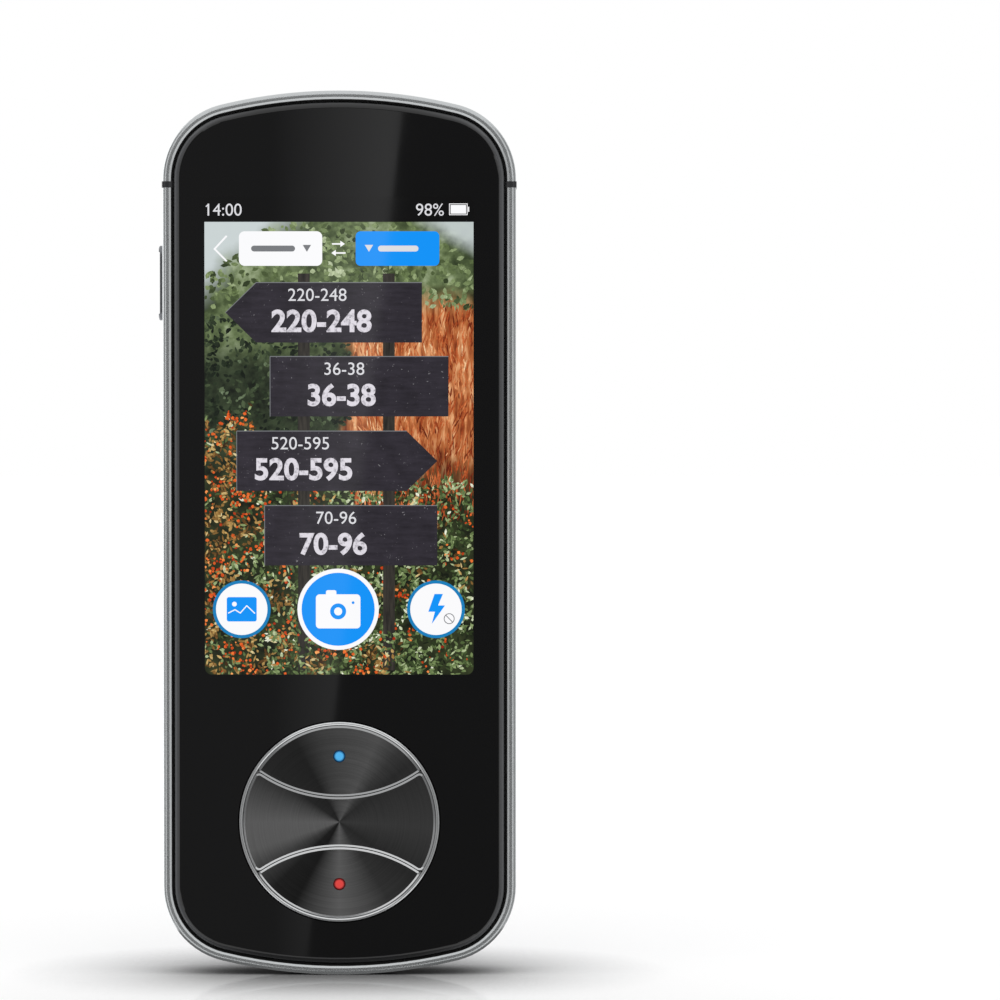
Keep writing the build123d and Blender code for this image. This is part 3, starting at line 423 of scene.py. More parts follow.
conductor_pitch = 0.4
polyimide = Finish("polyimide_cable")
line_wave = (polyimide.across * (pi / conductor_pitch)).math("SINE")
conductors = line_wave.step(0.1, 0.4)
polyimide.surface(
    Base_Color=polyimide.mix(conductors, chip(176, 108, 32), chip(206, 138, 56)),
    Roughness=0.3 + conductors * 0.1,
)
polyimide.bump(conductors, 0.02)
dress(polyimide, "camera_flex", "display_flex", "key_flex", "link_flex", "wifi_antenna")

sheet_steel = Finish("rolled_sheet_steel")
rolling = sheet_steel.noise(1.0, detail=4.0, roughness=0.65, place=sheet_steel.stretched(0.5, 2, 9))
sheet_steel.surface(
    Base_Color=sheet_steel.ramp(rolling, (0.2, chip(176, 178, 180)), (0.8, chip(206, 207, 208))),
    Metallic=1.0,
    Roughness=0.24 + rolling * 0.16,
)
sheet_steel.bump(rolling, 0.004, 0.4)
dress(sheet_steel, "shield_cans", "display_tray", "key_domes", "side_key_switches")
dress(sheet_steel, "rear_microphone", "voice_microphone")

black_oxide = Finish("black_oxide_steel")
blackening = black_oxide.noise(4.0, detail=3.0)
black_oxide.surface(
    Base_Color=black_oxide.ramp(blackening, (0.2, chip(58, 58, 62)), (0.8, chip(92, 92, 96))),
    Metallic=1.0,
    Roughness=0.3 + blackening * 0.15,
)
dress(black_oxide, "frame_screws", "board_screws")

pouch = Finish("laminated_foil")
creases = pouch.noise(0.5, detail=5.0, roughness=0.6)
pouch.surface(
    Base_Color=pouch.ramp(creases, (0.3, chip(186, 188, 192)), (0.7, chip(214, 216, 219))),
    Metallic=0.6,
    Roughness=0.4 + creases * 0.1,
)
pouch.bump(creases, 0.06)
dress(pouch, "battery")

black_tape = Finish("black_tape")
fluff = black_tape.noise(6.0, detail=4.0)
black_tape.surface(
    Base_Color=black_tape.ramp(fluff, (0.3, chip(18, 18, 18)), (0.7, chip(34, 34, 35))),
    Roughness=0.75 + fluff * 0.1,
)
dress(black_tape, "battery_tape", "glass_tape")

black_wire_from = 8.5
insulation = Finish("wire_insulation")
print_wear = insulation.noise(2.0, detail=3.0)
insulation.surface(
    Base_Color=insulation.mix(
        insulation.across > black_wire_from,
        insulation.ramp(print_wear, (0.3, chip(168, 22, 18)), (0.7, chip(196, 34, 28))),
        chip(28, 28, 30),
    ),
    Roughness=0.4,
)
dress(insulation, "battery_lead")

# ------------------------------------------------------------------------------------------------
# Charging socket
# ------------------------------------------------------------------------------------------------
# A rolled stainless shell with a black tongue inside. The tongue carries a row of gold contacts
# on each of its faces.

socket_low, socket_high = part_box("usb_socket")
socket_height = -(socket_low.y + socket_high.y) * 500
tongue_half_width = 3.36
tongue_half_height = 0.36
contact_pitch = 0.5
contacts_half_width = 2.9

port = Finish("socket_steel_and_tongue")
rolled = port.noise(1.2, detail=4.0, roughness=0.6, place=port.stretched(8, 8, 0.6))
in_width = port.across.size() < tongue_half_width
in_height = (port.height - socket_height).size() < tongue_half_height
tongue = in_width * in_height
wave = (port.across * (2 * pi / contact_pitch)).math("SINE")
contact = tongue * (wave > 0.1) * (port.across.size() < contacts_half_width)
port.surface(
    Base_Color=port.mix(
        contact,
        port.mix(
            tongue,
            port.ramp(rolled, (0.2, chip(170, 172, 175)), (0.8, chip(204, 205, 207))),
            chip(20, 20, 22),
        ),
        chip(222, 178, 92),
    ),
    Metallic=1 - tongue + contact,
    Roughness=0.25 + rolled * 0.12,
)
dress(port, "usb_socket")

# ------------------------------------------------------------------------------------------------
# Mid frame
# ------------------------------------------------------------------------------------------------
# The plate that carries the display, the boards and the battery is die-cast magnesium, blasted and
# chromated. Eight screws hold it to the bosses of the casing.

die_cast = Finish("die_cast_magnesium")
skin = die_cast.noise(3.0, detail=4.0, roughness=0.65)
die_cast.surface(
    Base_Color=die_cast.ramp(skin, (0.25, chip(150, 152, 152)), (0.75, chip(184, 186, 184))),
    Metallic=1.0,
    Roughness=0.5 + skin * 0.15,
)
die_cast.bump(skin, 0.015, 0.5)
dress(die_cast, "mid_frame")

# ------------------------------------------------------------------------------------------------
# Display stack
# ------------------------------------------------------------------------------------------------
# A light guide with its films lies in a steel tray under the panel. The panel is glued to the back
# of the cover glass.

light_guide = Finish("light_guide_film")
film_dots = light_guide.node(
    "ShaderNodeTexVoronoi", inputs={"Vector": light_guide.place, "Scale": 2.0}, output="Distance"
)
light_guide.surface(
    Base_Color=light_guide.mix(film_dots.step(0.2, 0.3), chip(250, 250, 248), chip(232, 236, 236)),
    Roughness=0.35 + film_dots * 0.1,
)
dress(light_guide, "display_backlight")

cell_pitch = 0.15
panel_glass = Finish("panel_glass")
cells_row = (panel_glass.along * (pi / cell_pitch)).math("SINE")
panel_glass.surface(
    Base_Color=panel_glass.mix(cells_row.step(-0.2, 0.2), chip(20, 20, 26), chip(28, 28, 36)),
    Roughness=0.08 + cells_row * 0.01,
)
dress(panel_glass, "display_panel")

# ------------------------------------------------------------------------------------------------
# Cover glass
# ------------------------------------------------------------------------------------------------
# One sheet of toughened glass, its edge ground round and its back printed black, apart from the
# window of the display. It is bonded to the ledge inside the rim. Light on its ground edge is
# painted into its colour, strongest at the sides, and a hairline of painted shade parts it from the
# ring of the keys.

ring_low, ring_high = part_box("key_ring")
disc_along = (ring_low.z + ring_high.z) * 500
ring_radius = 14.36
gap_shade_ring_width = 0.2
edge_foot_height = 11.0
glow_from, glow_full = 10.0, 23.5

cover = Finish("cover_glass")
cover_smudges = cover.noise(0.09, detail=4.0, roughness=0.6)
# Painted light: a pale band on the ground edge, stronger at the sides than at the ends
painted_edge_light = cover.ramp(
    cover.height - edge_foot_height,
    (0.4, chip(6, 6, 7)),
    (0.58, chip(60, 61, 62)),
    (0.77, chip(86, 87, 89)),
    (0.92, chip(64, 65, 67)),
    (0.985, chip(26, 26, 27)),
    (0.997, chip(5, 5, 6)),
)
painted_light_towards_sides = cover.across.size().step(glow_from, glow_full)
from_disc = cover.across.both(cover.along - disc_along)
# Painted shade: a black ring on the glass round the keys, where the gap to their ring falls dark
painted_gap_shade_ring = from_disc < ring_radius + gap_shade_ring_width
cover.surface(
    Base_Color=cover.mix(
        painted_gap_shade_ring, cover.mix(painted_light_towards_sides * 0.8 + 0.2, chip(5, 5, 6), painted_edge_light), chip(0, 0, 0)
    ),
    Metallic=painted_gap_shade_ring,
    Roughness=0.015 + cover_smudges * 0.02,
    IOR=1.5,
)
dress(cover, "front_glass")

# ------------------------------------------------------------------------------------------------
# Round keys
# ------------------------------------------------------------------------------------------------
# Three keys make up one disc. Each is turned from dark steel with fine grooves about the middle of
# the disc, and has a diamond-cut edge. The fans of light that such grooves throw back are painted
# into the colour of the faces, and the cut edge is painted lighter below than above. A ring of
# polished steel holds them. A clear light guide, blue above and red below, sits in the outer two.

key_face_height = -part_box("centre_key")[0].y * 1000
cut_depth = 0.012
groove_pitch = 0.22


def grey(level):
    """Neutral colour of a linear level."""
    return (level, level, level, 1.0)


spun = Finish("spun_steel")
up_from_middle = spun.along - disc_along
radius_out = spun.across.both(up_from_middle)
turn = up_from_middle.math("ARCTAN2", spun.across) / (2 * pi) + 0.5
# Painted highlights: bright and dark fans by the turn about the middle of the disc
painted_fan_levels = (
    (0.0, 0.21), (0.05, 0.2), (0.085, 0.09), (0.125, 0.028), (0.17, 0.022),
    (0.2, 0.09), (0.25, 0.2), (0.285, 0.15), (0.34, 0.06), (0.4, 0.043),
    (0.49, 0.078), (0.61, 0.048), (0.64, 0.075), (0.68, 0.155), (0.75, 0.115),
    (0.785, 0.09), (0.83, 0.033), (0.9, 0.04), (0.95, 0.125), (1.0, 0.21),
)
painted_fans = spun.ramp(turn, *[(place, grey(level)) for place, level in painted_fan_levels])
ring_place = spun.node("ShaderNodeCombineXYZ", inputs=[radius_out * 5.0, turn * 2.0, 0.0])
rings = spun.noise(1.0, detail=3.0, roughness=0.7, place=ring_place)
grooves = (radius_out * (2 * pi / groove_pitch)).math("SINE")
diamond_cut = spun.height < key_face_height - cut_depth
# Painted light: the diamond-cut edge is lighter below the middle of the disc than above it
cut_edge_painted_light = spun.mix(up_from_middle.step(-2.0, 2.0), chip(200, 201, 202), chip(158, 159, 160))
ring_shade = spun.ramp(rings, (0.25, grey(0.86)), (0.75, grey(1.14)))
face_and_painted_fans = spun.mix(1.0, painted_fans, ring_shade, "MULTIPLY")
spun.surface(
    Base_Color=spun.mix(diamond_cut, face_and_painted_fans, cut_edge_painted_light),
    Metallic=1.0,
    Roughness=0.34 + rings * 0.1 - diamond_cut * 0.26,
)
spun.bump(grooves * (1 - diamond_cut), 0.004, 0.25)
dress(spun, "upper_key", "centre_key", "lower_key")


def light_guide_dot(name, node, core, rim):
    """Clear plastic guide, brightest over its LED and darker towards its edge."""
    low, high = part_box(node)
    finish = Finish(name)
    from_middle = finish.across.both(finish.along - (low.z + high.z) * 500)
    shade = finish.ramp(from_middle, (0.5, core), (0.74, rim))
    finish.surface(
        Base_Color=shade,
        Roughness=0.12 + from_middle * 0.05,
        Emission_Color=shade,
        Emission_Strength=0.35,
    )
    dress(finish, node)


light_guide_dot("blue_light_guide", "upper_key_dot", chip(70, 160, 215), chip(12, 70, 110))
light_guide_dot("red_light_guide", "lower_key_dot", chip(205, 62, 58), chip(96, 16, 18))

# ------------------------------------------------------------------------------------------------
# Picture on the display
# ------------------------------------------------------------------------------------------------
# The lit display shows the camera's view of boards in a garden, with a status bar, two language
# fields and three round buttons. Each form is a film of about 0.01 mm on the glass.

glass_height = -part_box("front_glass")[0].y * 1000
display_width = 38.6
display_height = 68.6
top_border = 15.3
display_left = -display_width / 2
display_top = cad_box[1].z * 1000 - top_border
film = 0.012
emission_level = 1.0
pixel_pitch = 0.11


def films(name, outlines, layer, finish):
    """Makes thin plates from outlines in millimetres from the display's upper left corner."""
    points = []
    faces = []
    back = -(glass_height + film * (layer - 0.5)) / 1000
    front = -(glass_height + film * (layer + 0.5)) / 1000
    for outline in outlines:
        start = len(points)
        count = len(outline)
        for depth in (back, front):
            points += [
                ((display_left + u) / 1000, depth, (display_top - v) / 1000) for u, v in outline
            ]
        faces.append([start + i for i in range(count)])
        faces.append([start + count + i for i in reversed(range(count))])
        for i in range(count):
            after = (i + 1) % count
            faces.append([start + after, start + i, start + count + i, start + count + after])
    mesh = bpy.data.meshes.new(name)
    mesh.from_pydata(points, [], faces)
    mesh.validate()
    piece = bpy.data.objects.new(name, mesh)
    bpy.context.scene.collection.objects.link(piece)
    mesh.materials.append(finish.material)
    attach(piece, "case")
    return piece


def arc(u, v, radius, start, end, steps=8):
    """Points on an arc whose angles are in degrees, from the right and upwards."""
    turns = [radians(start + (end - start) * i / steps) for i in range(steps + 1)]
    return [(u + radius * cos(a), v - radius * sin(a)) for a in turns]


def disc(u, v, radius):
    return arc(u, v, radius, 0, 352.5, 47)


def rectangle(left, top, width, height, corner=0.0):
    """Outline of a rectangle, clockwise as it is seen, with round corners if asked for."""
    right, bottom = left + width, top + height
    if not corner:
        return [(left, top), (left, bottom), (right, bottom), (right, top)]
    return (
        arc(left + corner, top + corner, corner, 90, 180)
        + arc(left + corner, bottom - corner, corner, 180, 270)
        + arc(right - corner, bottom - corner, corner, 270, 360)
        + arc(right - corner, top + corner, corner, 0, 90)
    )


def stroke(start, end, width):
    """A straight line of a width, as an outline."""
    along_u, along_v = end[0] - start[0], end[1] - start[1]
    reach = hypot(along_u, along_v)
    side_u, side_v = -along_v / reach * width / 2, along_u / reach * width / 2
    return [
        (start[0] + side_u, start[1] + side_v),
        (end[0] + side_u, end[1] + side_v),
        (end[0] - side_u, end[1] - side_v),
        (start[0] - side_u, start[1] - side_v),
    ]


def ring(u, v, radius, width):
    """A ring as short strokes that follow one another."""
    steps = 36
    places = [radians(360 * i / steps) for i in range(steps + 1)]
    points = [(u + radius * cos(a), v + radius * sin(a)) for a in places]
    return [stroke(points[i], points[i + 1], width) for i in range(steps)]


def light_up(finish, colour, variation):
    """Makes a finish glow in a colour, under the gloss of the glass."""
    finish.surface(
        Base_Color=(0.0, 0.0, 0.0, 1.0),
        Roughness=0.03 + variation * 0.01,
        IOR=1.5,
        Emission_Color=colour,
        Emission_Strength=emission_level,
    )


def lit(name, shade):
    """A finish that glows in one colour with a faint pixel grid."""
    finish = Finish(name)
    pixels = weave(finish, pixel_pitch)
    dimmed = tuple(c * 0.93 for c in shade[:3]) + (1.0,)
    light_up(finish, finish.ramp(pixels, (0.0, dimmed), (0.6, shade)), pixels)
    return finish


status_height = 3.6
display_corner = 1.0

# Out-of-focus backdrop: pale sky in both upper corners, trees, a rust shrub and dark undergrowth
garden = Finish("garden_backdrop")
from_left = garden.across - display_left
from_top = display_top - garden.along
drift = garden.noise(0.2, detail=2.0)
wander = garden.noise(0.55, detail=3.0, roughness=0.6)
streaks = garden.noise(0.9, detail=3.0, place=garden.stretched(1.6, 1.0, 0.35))
edge = drift * 8.0 + wander * 4.0
trees = garden.ramp(
    drift * 0.45 + wander * 0.55,
    (0.3, chip(34, 44, 26)),
    (0.45, chip(70, 84, 52)),
    (0.56, chip(106, 122, 82)),
    (0.7, chip(160, 174, 138)),
)
rust = garden.ramp(
    streaks,
    (0.3, chip(124, 50, 20)),
    (0.5, chip(184, 106, 58)),
    (0.7, chip(234, 176, 126)),
)
sky = 1 - (from_left + from_top * 1.3 + edge).step(17.0, 27.0)
sky = sky + (from_left - from_top * 1.6 + edge * 0.5).step(26.0, 32.0) * 0.8
glade = (from_left + edge * 0.5).step(22.0, 25.0) * (from_top + edge * 0.4).step(15.0, 20.0)
undergrowth = (from_top + edge * 0.5).step(38.0, 46.0)
thicket = 1 - (from_left - from_top * 0.2 + edge * 0.4).step(18.0, 24.0)
thicket = thicket * (from_top + edge * 0.4).step(22.0, 28.0)
scenery = garden.mix(sky.math("MINIMUM", 0.95), trees, chip(206, 215, 216))
scenery = garden.mix(
    thicket, scenery, garden.ramp(wander, (0.3, chip(18, 24, 16)), (0.7, chip(58, 70, 48)))
)
scenery = garden.mix(glade, scenery, rust)
scenery = garden.mix(
    undergrowth, scenery, garden.ramp(wander, (0.3, chip(14, 18, 9)), (0.7, chip(52, 60, 34)))
)
light_up(garden, scenery, wander)
lower_corner = display_height - display_corner
right_corner = display_width - display_corner
films(
    "garden_view",
    [
        [(0, status_height)]
        + arc(display_corner, lower_corner, display_corner, 180, 270)
        + arc(right_corner, lower_corner, display_corner, 270, 360)
        + [(display_width, status_height)]
    ],
    0.5,
    garden,
)

# Leaves, stalks and berries, each a small flat mark with a colour of its own
planting = Finish("garden_planting")
leaf_tone = planting.node("ShaderNodeAttribute", {"attribute_name": "tone"}, output="Color")
mottle = planting.noise(3.0, detail=2.0)
mottling = planting.ramp(mottle, (0.3, grey(0.7)), (0.7, grey(1.2)))
light_up(planting, planting.mix(1.0, leaf_tone, mottling, "MULTIPLY"), mottle)
tree_marks, thicket_marks, stalk_marks, near_marks, foot_marks = 700, 900, 2300, 5200, 420
corner_clearance = 1.2
draw = Random(24)


def leaf(u, v, length, width, angle):
    """Outline of a pointed leaf about its middle."""
    lean_u, lean_v = cos(radians(angle)), sin(radians(angle))
    shape = [(-0.5, 0.0), (-0.15, -0.5), (0.2, -0.4), (0.5, 0.0), (0.2, 0.4), (-0.15, 0.5)]
    return [
        (u + a * length * lean_u - b * width * lean_v, v - a * length * lean_v - b * width * lean_u)
        for a, b in shape
    ]


def shade_of(palette, tone):
    """Colour at a tone from 0 to 1 along a palette of paint chips."""
    reach = min(max(tone, 0.0), 0.999) * (len(palette) - 1)
    first = int(reach)
    low, high = palette[first], palette[first + 1]
    return chip(*[a + (b - a) * (reach - first) for a, b in zip(low, high)])


def cloud(u, v, scale, offset=0.0):
    """Slow variation from about -1 to 1 over the picture."""
    return noise.noise(Vector((u * scale, v * scale, offset))) * 1.6


def painted(name, marks, depth, spread):
    """Lays flat marks over the picture, each a little in front of the one before it."""
    points = []
    faces = []
    shades = []
    for order, (outline, shade) in enumerate(marks):
        level = -(glass_height + depth + spread * order / len(marks)) / 1000
        inside = [
            (
                min(max(u, 0.02), display_width - 0.02),
                min(max(v, status_height), display_height - 0.02),
            )
            for u, v in outline
        ]
        faces.append([len(points) + i for i in range(len(inside))])
        points += [((display_left + u) / 1000, level, (display_top - v) / 1000) for u, v in inside]
        shades += list(shade) * len(inside)
    mesh = bpy.data.meshes.new(name)
    mesh.from_pydata(points, [], faces)
    tones = mesh.color_attributes.new("tone", "FLOAT_COLOR", "CORNER")
    tones.data.foreach_set("color", shades)
    mesh.materials.append(planting.material)
    piece = bpy.data.objects.new(name, mesh)
    bpy.context.scene.collection.objects.link(piece)
    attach(piece, "case")


def clear_of_corners(u, v):
    """True where a mark keeps off the display's round lower corners."""
    beside = corner_clearance < u < display_width - corner_clearance
    return v < display_height - corner_clearance or beside


tree_leaves = [(48, 60, 34), (86, 102, 62), (130, 148, 100), (176, 190, 150), (220, 228, 202)]
thicket_leaves = [(16, 24, 16), (40, 52, 34), (74, 88, 60), (124, 142, 112)]
stalks = [(96, 30, 10), (150, 62, 26), (196, 102, 54), (228, 158, 106), (246, 210, 164)]
front_leaves = [
    (18, 25, 12), (46, 60, 30), (88, 108, 62), (136, 156, 102), (188, 202, 158), (232, 236, 212),
]
autumn_leaves = [(50, 32, 12), (106, 74, 34), (162, 124, 66), (200, 168, 104), (222, 206, 156)]
berry_reds = [(150, 36, 10), (206, 74, 22), (238, 112, 44), (252, 168, 96)]

distant = []
for _ in range(tree_marks):
    u, v = draw.uniform(0, display_width), draw.uniform(3.8, 16)
    if u + v * 1.3 < 15 or (u > 30 and u - v * 1.6 > 24):
        continue
    tone = 0.42 + cloud(u, v, 0.25) * 0.3 + draw.gauss(0, 0.16) - max(0.0, 12 - u) * 0.025
    outline = leaf(u, v, draw.uniform(0.5, 1.5), draw.uniform(0.4, 0.8), draw.uniform(0, 180))
    distant.append((outline, shade_of(tree_leaves, tone)))
for _ in range(thicket_marks):
    u, v = draw.uniform(0, 21), draw.uniform(17, 38)
    tone = 0.36 + cloud(u, v, 0.3, 4.0) * 0.35 + draw.gauss(0, 0.18)
    outline = leaf(u, v, draw.uniform(0.4, 1.3), draw.uniform(0.3, 0.7), draw.uniform(0, 180))
    distant.append((outline, shade_of(thicket_leaves, tone)))
for _ in range(stalk_marks):
    u, v = draw.uniform(18.5, display_width), draw.uniform(12, 46)
    if u < 21.5 + cloud(u, v, 0.3, 8.0) * 1.5 or v < 21 - u * 0.15 + cloud(u, v, 0.3, 9.0) * 2:
        continue
    tone = 0.8 - (u - 20) * 0.022 - (v - 14) * 0.007
    tone += cloud(u, v * 0.5, 0.5, 2.0) * 0.3 + draw.gauss(0, 0.17)
    lean = 90 + cloud(u, v, 0.15, 6.0) * 18 + draw.gauss(0, 12)
    outline = leaf(u, v, draw.uniform(0.7, 2.6), draw.uniform(0.1, 0.26), lean)
    distant.append((outline, shade_of(stalks, tone)))


def undergrowth_mark(u, v):
    """A leaf or a berry of the near shrubs. They turn to autumn colours towards the left."""
    autumn = cloud(u, v, 0.22, 12.0) + (0.4 if u < 9 else -0.25)
    light = cloud(u, v, 0.45, 15.0) * 0.3
    turn = draw.uniform(0, 180)
    berry_share = 0.02 + max(0.0, cloud(u, v, 0.3, 20.0) + (0.35 if u < 9 else -0.15)) * 0.6
    if draw.random() < berry_share:
        size = draw.uniform(0.26, 0.56)
        return leaf(u, v, size, size * 1.05, turn), shade_of(berry_reds, draw.gauss(0.5, 0.24))
    tone = abs(draw.gauss(0.0, 0.32)) + 0.16 + light
    palette = autumn_leaves if autumn + draw.gauss(0, 0.3) > 0.35 else front_leaves
    outline = leaf(u, v, draw.uniform(0.45, 1.15), draw.uniform(0.22, 0.46), turn)
    return outline, shade_of(palette, tone)


near = []
while len(near) < near_marks:
    u, v = draw.uniform(0, display_width), draw.uniform(28, display_height)
    top = 40.5 + cloud(u, 0.0, 0.35, 30.0) * 2.5 - (9.5 if u < 7 else 0.0)
    if v > top and clear_of_corners(u, v):
        near.append(undergrowth_mark(u, v))
painted("distant_planting", distant, depth=0.0125, spread=0.0015)
painted("near_planting", near, depth=0.0142, spread=0.0035)
at_the_foot = []
while len(at_the_foot) < foot_marks:
    u, v = draw.uniform(9, 31), draw.uniform(60.5, display_height)
    if v > 62.5 + cloud(u, 0.0, 0.8, 40.0) * 1.6:
        at_the_foot.append(undergrowth_mark(u, v))
painted("foot_planting", at_the_foot, depth=0.031, spread=0.003)

black_film = lit("unlit_pixels", chip(2, 2, 3))
films(
    "status_bar",
    [
        arc(display_corner, display_corner, display_corner, 90, 180)
        + [(0, status_height), (display_width, status_height)]
        + arc(right_corner, display_corner, display_corner, 0, 90)
    ],
    0.5,
    black_film,
)

white_film = lit("white_pixels", chip(253, 253, 255))
soft_white_film = lit("pale_pixels", chip(224, 224, 228))
blue_film = lit("blue_pixels", chip(8, 148, 250))
dark_blue_film = lit("deep_blue_pixels", chip(22, 128, 190))
grey_film = lit("grey_pixels", chip(122, 124, 128))


def digits(name, text, left, middle, height, layer, finish, boldness=0.0, width=None):
    """Numbers in the built-in sans-serif face, as flat forms on the front of a film layer."""
    curve = bpy.data.curves.new(name, "FONT")
    curve.body = text
    curve.size = 0.001
    curve.resolution_u = 6
    curve.offset = boldness / 1000
    source = bpy.data.objects.new(name, curve)
    bpy.context.scene.collection.objects.link(source)
    bpy.context.view_layer.update()
    evaluated = source.evaluated_get(bpy.context.evaluated_depsgraph_get())
    flat = bpy.data.meshes.new_from_object(evaluated)
    bpy.data.objects.remove(source)
    low_x, high_x = min(p.co.x for p in flat.vertices), max(p.co.x for p in flat.vertices)
    low_y, high_y = min(p.co.y for p in flat.vertices), max(p.co.y for p in flat.vertices)
    scale = height / 1000 / (high_y - low_y)
    scale_x = width / 1000 / (high_x - low_x) if width else scale
    depth = -(glass_height + film * (layer + 0.5)) / 1000
    for point in flat.vertices:
        x = (display_left + left) / 1000 + (point.co.x - low_x) * scale_x
        z = (display_top - middle) / 1000 + (point.co.y - (low_y + high_y) / 2) * scale
        point.co = Vector((x, depth, z))
    if flat.polygons[0].normal.y > 0:
        flat.flip_normals()
    piece = bpy.data.objects.new(name, flat)
    bpy.context.scene.collection.objects.link(piece)
    flat.materials.clear()
    flat.materials.append(finish.material)
    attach(piece, "case")
    return piece


bar_middle, bar_digit_height = 1.85, 1.75
bar_place = (bar_middle, bar_digit_height, 2, soft_white_film)
digits("clock_digits", "14:00", 0.45, *bar_place, width=4.9)
digits("charge_digits", "98%", 30.35, *bar_place, width=4.0)
films("clock_flag", [stroke((0.22, 1.42), (0.62, 1.08), 0.17)], 2, soft_white_film)
films(
    "battery_symbol",
    [
        stroke((35.15, 1.02), (37.7, 1.02), 0.1),
        stroke((35.15, 2.58), (37.7, 2.58), 0.1),
        stroke((35.15, 0.97), (35.15, 2.63), 0.1),
        stroke((37.7, 0.97), (37.7, 2.63), 0.1),
        rectangle(35.32, 1.18, 2.22, 1.24),
        rectangle(37.82, 1.45, 0.16, 0.7),
    ],
    2,
    white_film,
)

# Two posts in the garden with four painted boards, set to the left and right by turns
slate = Finish("painted_boards")
plank = slate.noise(0.5, detail=5.0, roughness=0.7, place=slate.stretched(0.5, 1.0, 3.0))
flecks = slate.noise(3.2, detail=2.0)
wear = slate.noise(0.35, detail=3.0, roughness=0.6)
slate_shade = slate.mix(
    (flecks + wear * 0.3).step(0.86, 0.92) * 0.6,
    slate.ramp(plank * 0.6 + wear * 0.4, (0.3, chip(31, 28, 34)), (0.7, chip(56, 52, 61))),
    chip(150, 148, 152),
)
light_up(slate, slate_shade, plank)
post_finish = Finish("painted_posts")
post_grain = post_finish.noise(0.9, detail=4.0, place=post_finish.stretched(3.0, 1.0, 0.4))
post_shade = post_finish.ramp(post_grain, (0.3, chip(34, 32, 30)), (0.7, chip(62, 58, 52)))
light_up(post_finish, post_shade, post_grain)
post_top = 11.0
post_width = 1.7
post_length = display_height - post_top - 0.6
post_lefts = (13.4, 25.6)
films(
    "sign_posts",
    [rectangle(left, post_top, post_width, post_length) for left in post_lefts],
    1,
    post_finish,
)

tip_reach = 4.4
boards = []
board_edges = []
for left, right, top, bottom, tip in (
    (7.4, 31.2, 12.3, 20.9, -1),
    (9.4, 35.0, 22.9, 31.5, 0),
    (4.6, 29.0, 33.6, 42.2, 1),
    (8.6, 33.4, 44.3, 52.9, 0),
):
    middle = (top + bottom) / 2
    outline = [(left, top), (left, bottom), (right, bottom), (right, top)]
    if tip < 0:
        outline.insert(1, (left - tip_reach, middle))
    if tip > 0:
        outline.insert(3, (right + tip_reach, middle))
    boards.append(outline)
    board_edges.append(stroke((left, top), (right, top), 0.12))
    board_edges.append(stroke(outline[0], outline[1], 0.1))
films("sign_boards", boards, 2, slate)
films("sign_board_edges", board_edges, 3, grey_film)

chalk = Finish("chalky_paint")
rubbed = chalk.noise(1.8, detail=4.0, roughness=0.7)
chalk_shade = chalk.ramp(rubbed, (0.34, chip(158, 154, 162)), (0.5, chip(224, 220, 228)))
light_up(chalk, chalk_shade, rubbed)
board_texts = (
    ("220-248", 9.6, 12.3),
    ("36-38", 14.8, 22.9),
    ("520-595", 7.2, 33.6),
    ("70-96", 13.6, 44.3),
)
for number, (text, left, top) in enumerate(board_texts, 1):
    digits(f"board_number_{number}", text, left, top + 5.5, 3.3, 3.5, chalk, 0.03)
    digits(f"shown_number_{number}", text, left + 2.4, top + 1.75, 1.8, 3.5, soft_white_film)

# Language fields with a drop-down mark each, the arrows between them and the arrow that leads back
films("white_field", [rectangle(4.95, 4.95, 11.95, 4.95, 0.8)], 4, white_film)
films("blue_field", [rectangle(21.7, 4.95, 12.0, 4.95, 0.7)], 4, blue_film)
films(
    "white_field_marks",
    [rectangle(6.7, 7.0, 6.3, 0.85, 0.42), [(14.1, 6.9), (14.7, 7.9), (15.3, 6.9)]],
    5,
    grey_film,
)
films(
    "blue_field_marks",
    [rectangle(24.9, 7.0, 5.8, 0.85, 0.42), [(23.0, 6.9), (23.6, 7.9), (24.2, 6.9)]],
    5,
    soft_white_film,
)
films(
    "swap_arrows",
    [
        rectangle(18.3, 6.65, 1.5, 0.22),
        [(19.5, 6.3), (19.5, 7.2), (20.15, 6.76)],
        rectangle(18.75, 7.95, 1.5, 0.22),
        [(18.85, 7.6), (18.2, 8.06), (18.85, 8.5)],
    ],
    5,
    white_film,
)
films(
    "back_arrow",
    [stroke((3.2, 5.6), (1.45, 7.5), 0.26), stroke((1.38, 7.4), (3.2, 9.25), 0.26)],
    5,
    white_film,
)

# Round buttons: pictures to the left, shutter in the middle, flash to the right
button_row = 59.2
side_middles = (5.3, 33.2)
side_radius, side_face_radius = 4.15, 3.7
shutter_middle = 19.15
shutter_radius, shutter_face_radius = 5.85, 5.25
side_rims = [disc(u, button_row, side_radius) for u in side_middles]
side_faces = [disc(u, button_row, side_face_radius) for u in side_middles]
films("side_button_rims", side_rims, 4, dark_blue_film)
films("side_button_faces", side_faces, 5, white_film)
films("shutter_rim", [disc(shutter_middle, button_row, shutter_radius)], 4, white_film)
films("shutter_face", [disc(shutter_middle, button_row, shutter_face_radius)], 5, blue_film)
films(
    "button_marks",
    [
        rectangle(3.15, button_row - 1.75, 4.3, 3.5, 0.3),
        [
            (33.0, button_row - 2.2),
            (32.1, button_row + 0.35),
            (33.05, button_row + 0.35),
            (32.6, button_row + 2.1),
            (34.5, button_row - 0.55),
            (33.5, button_row - 0.55),
            (34.2, button_row - 2.2),
        ],
    ],
    6,
    blue_film,
)
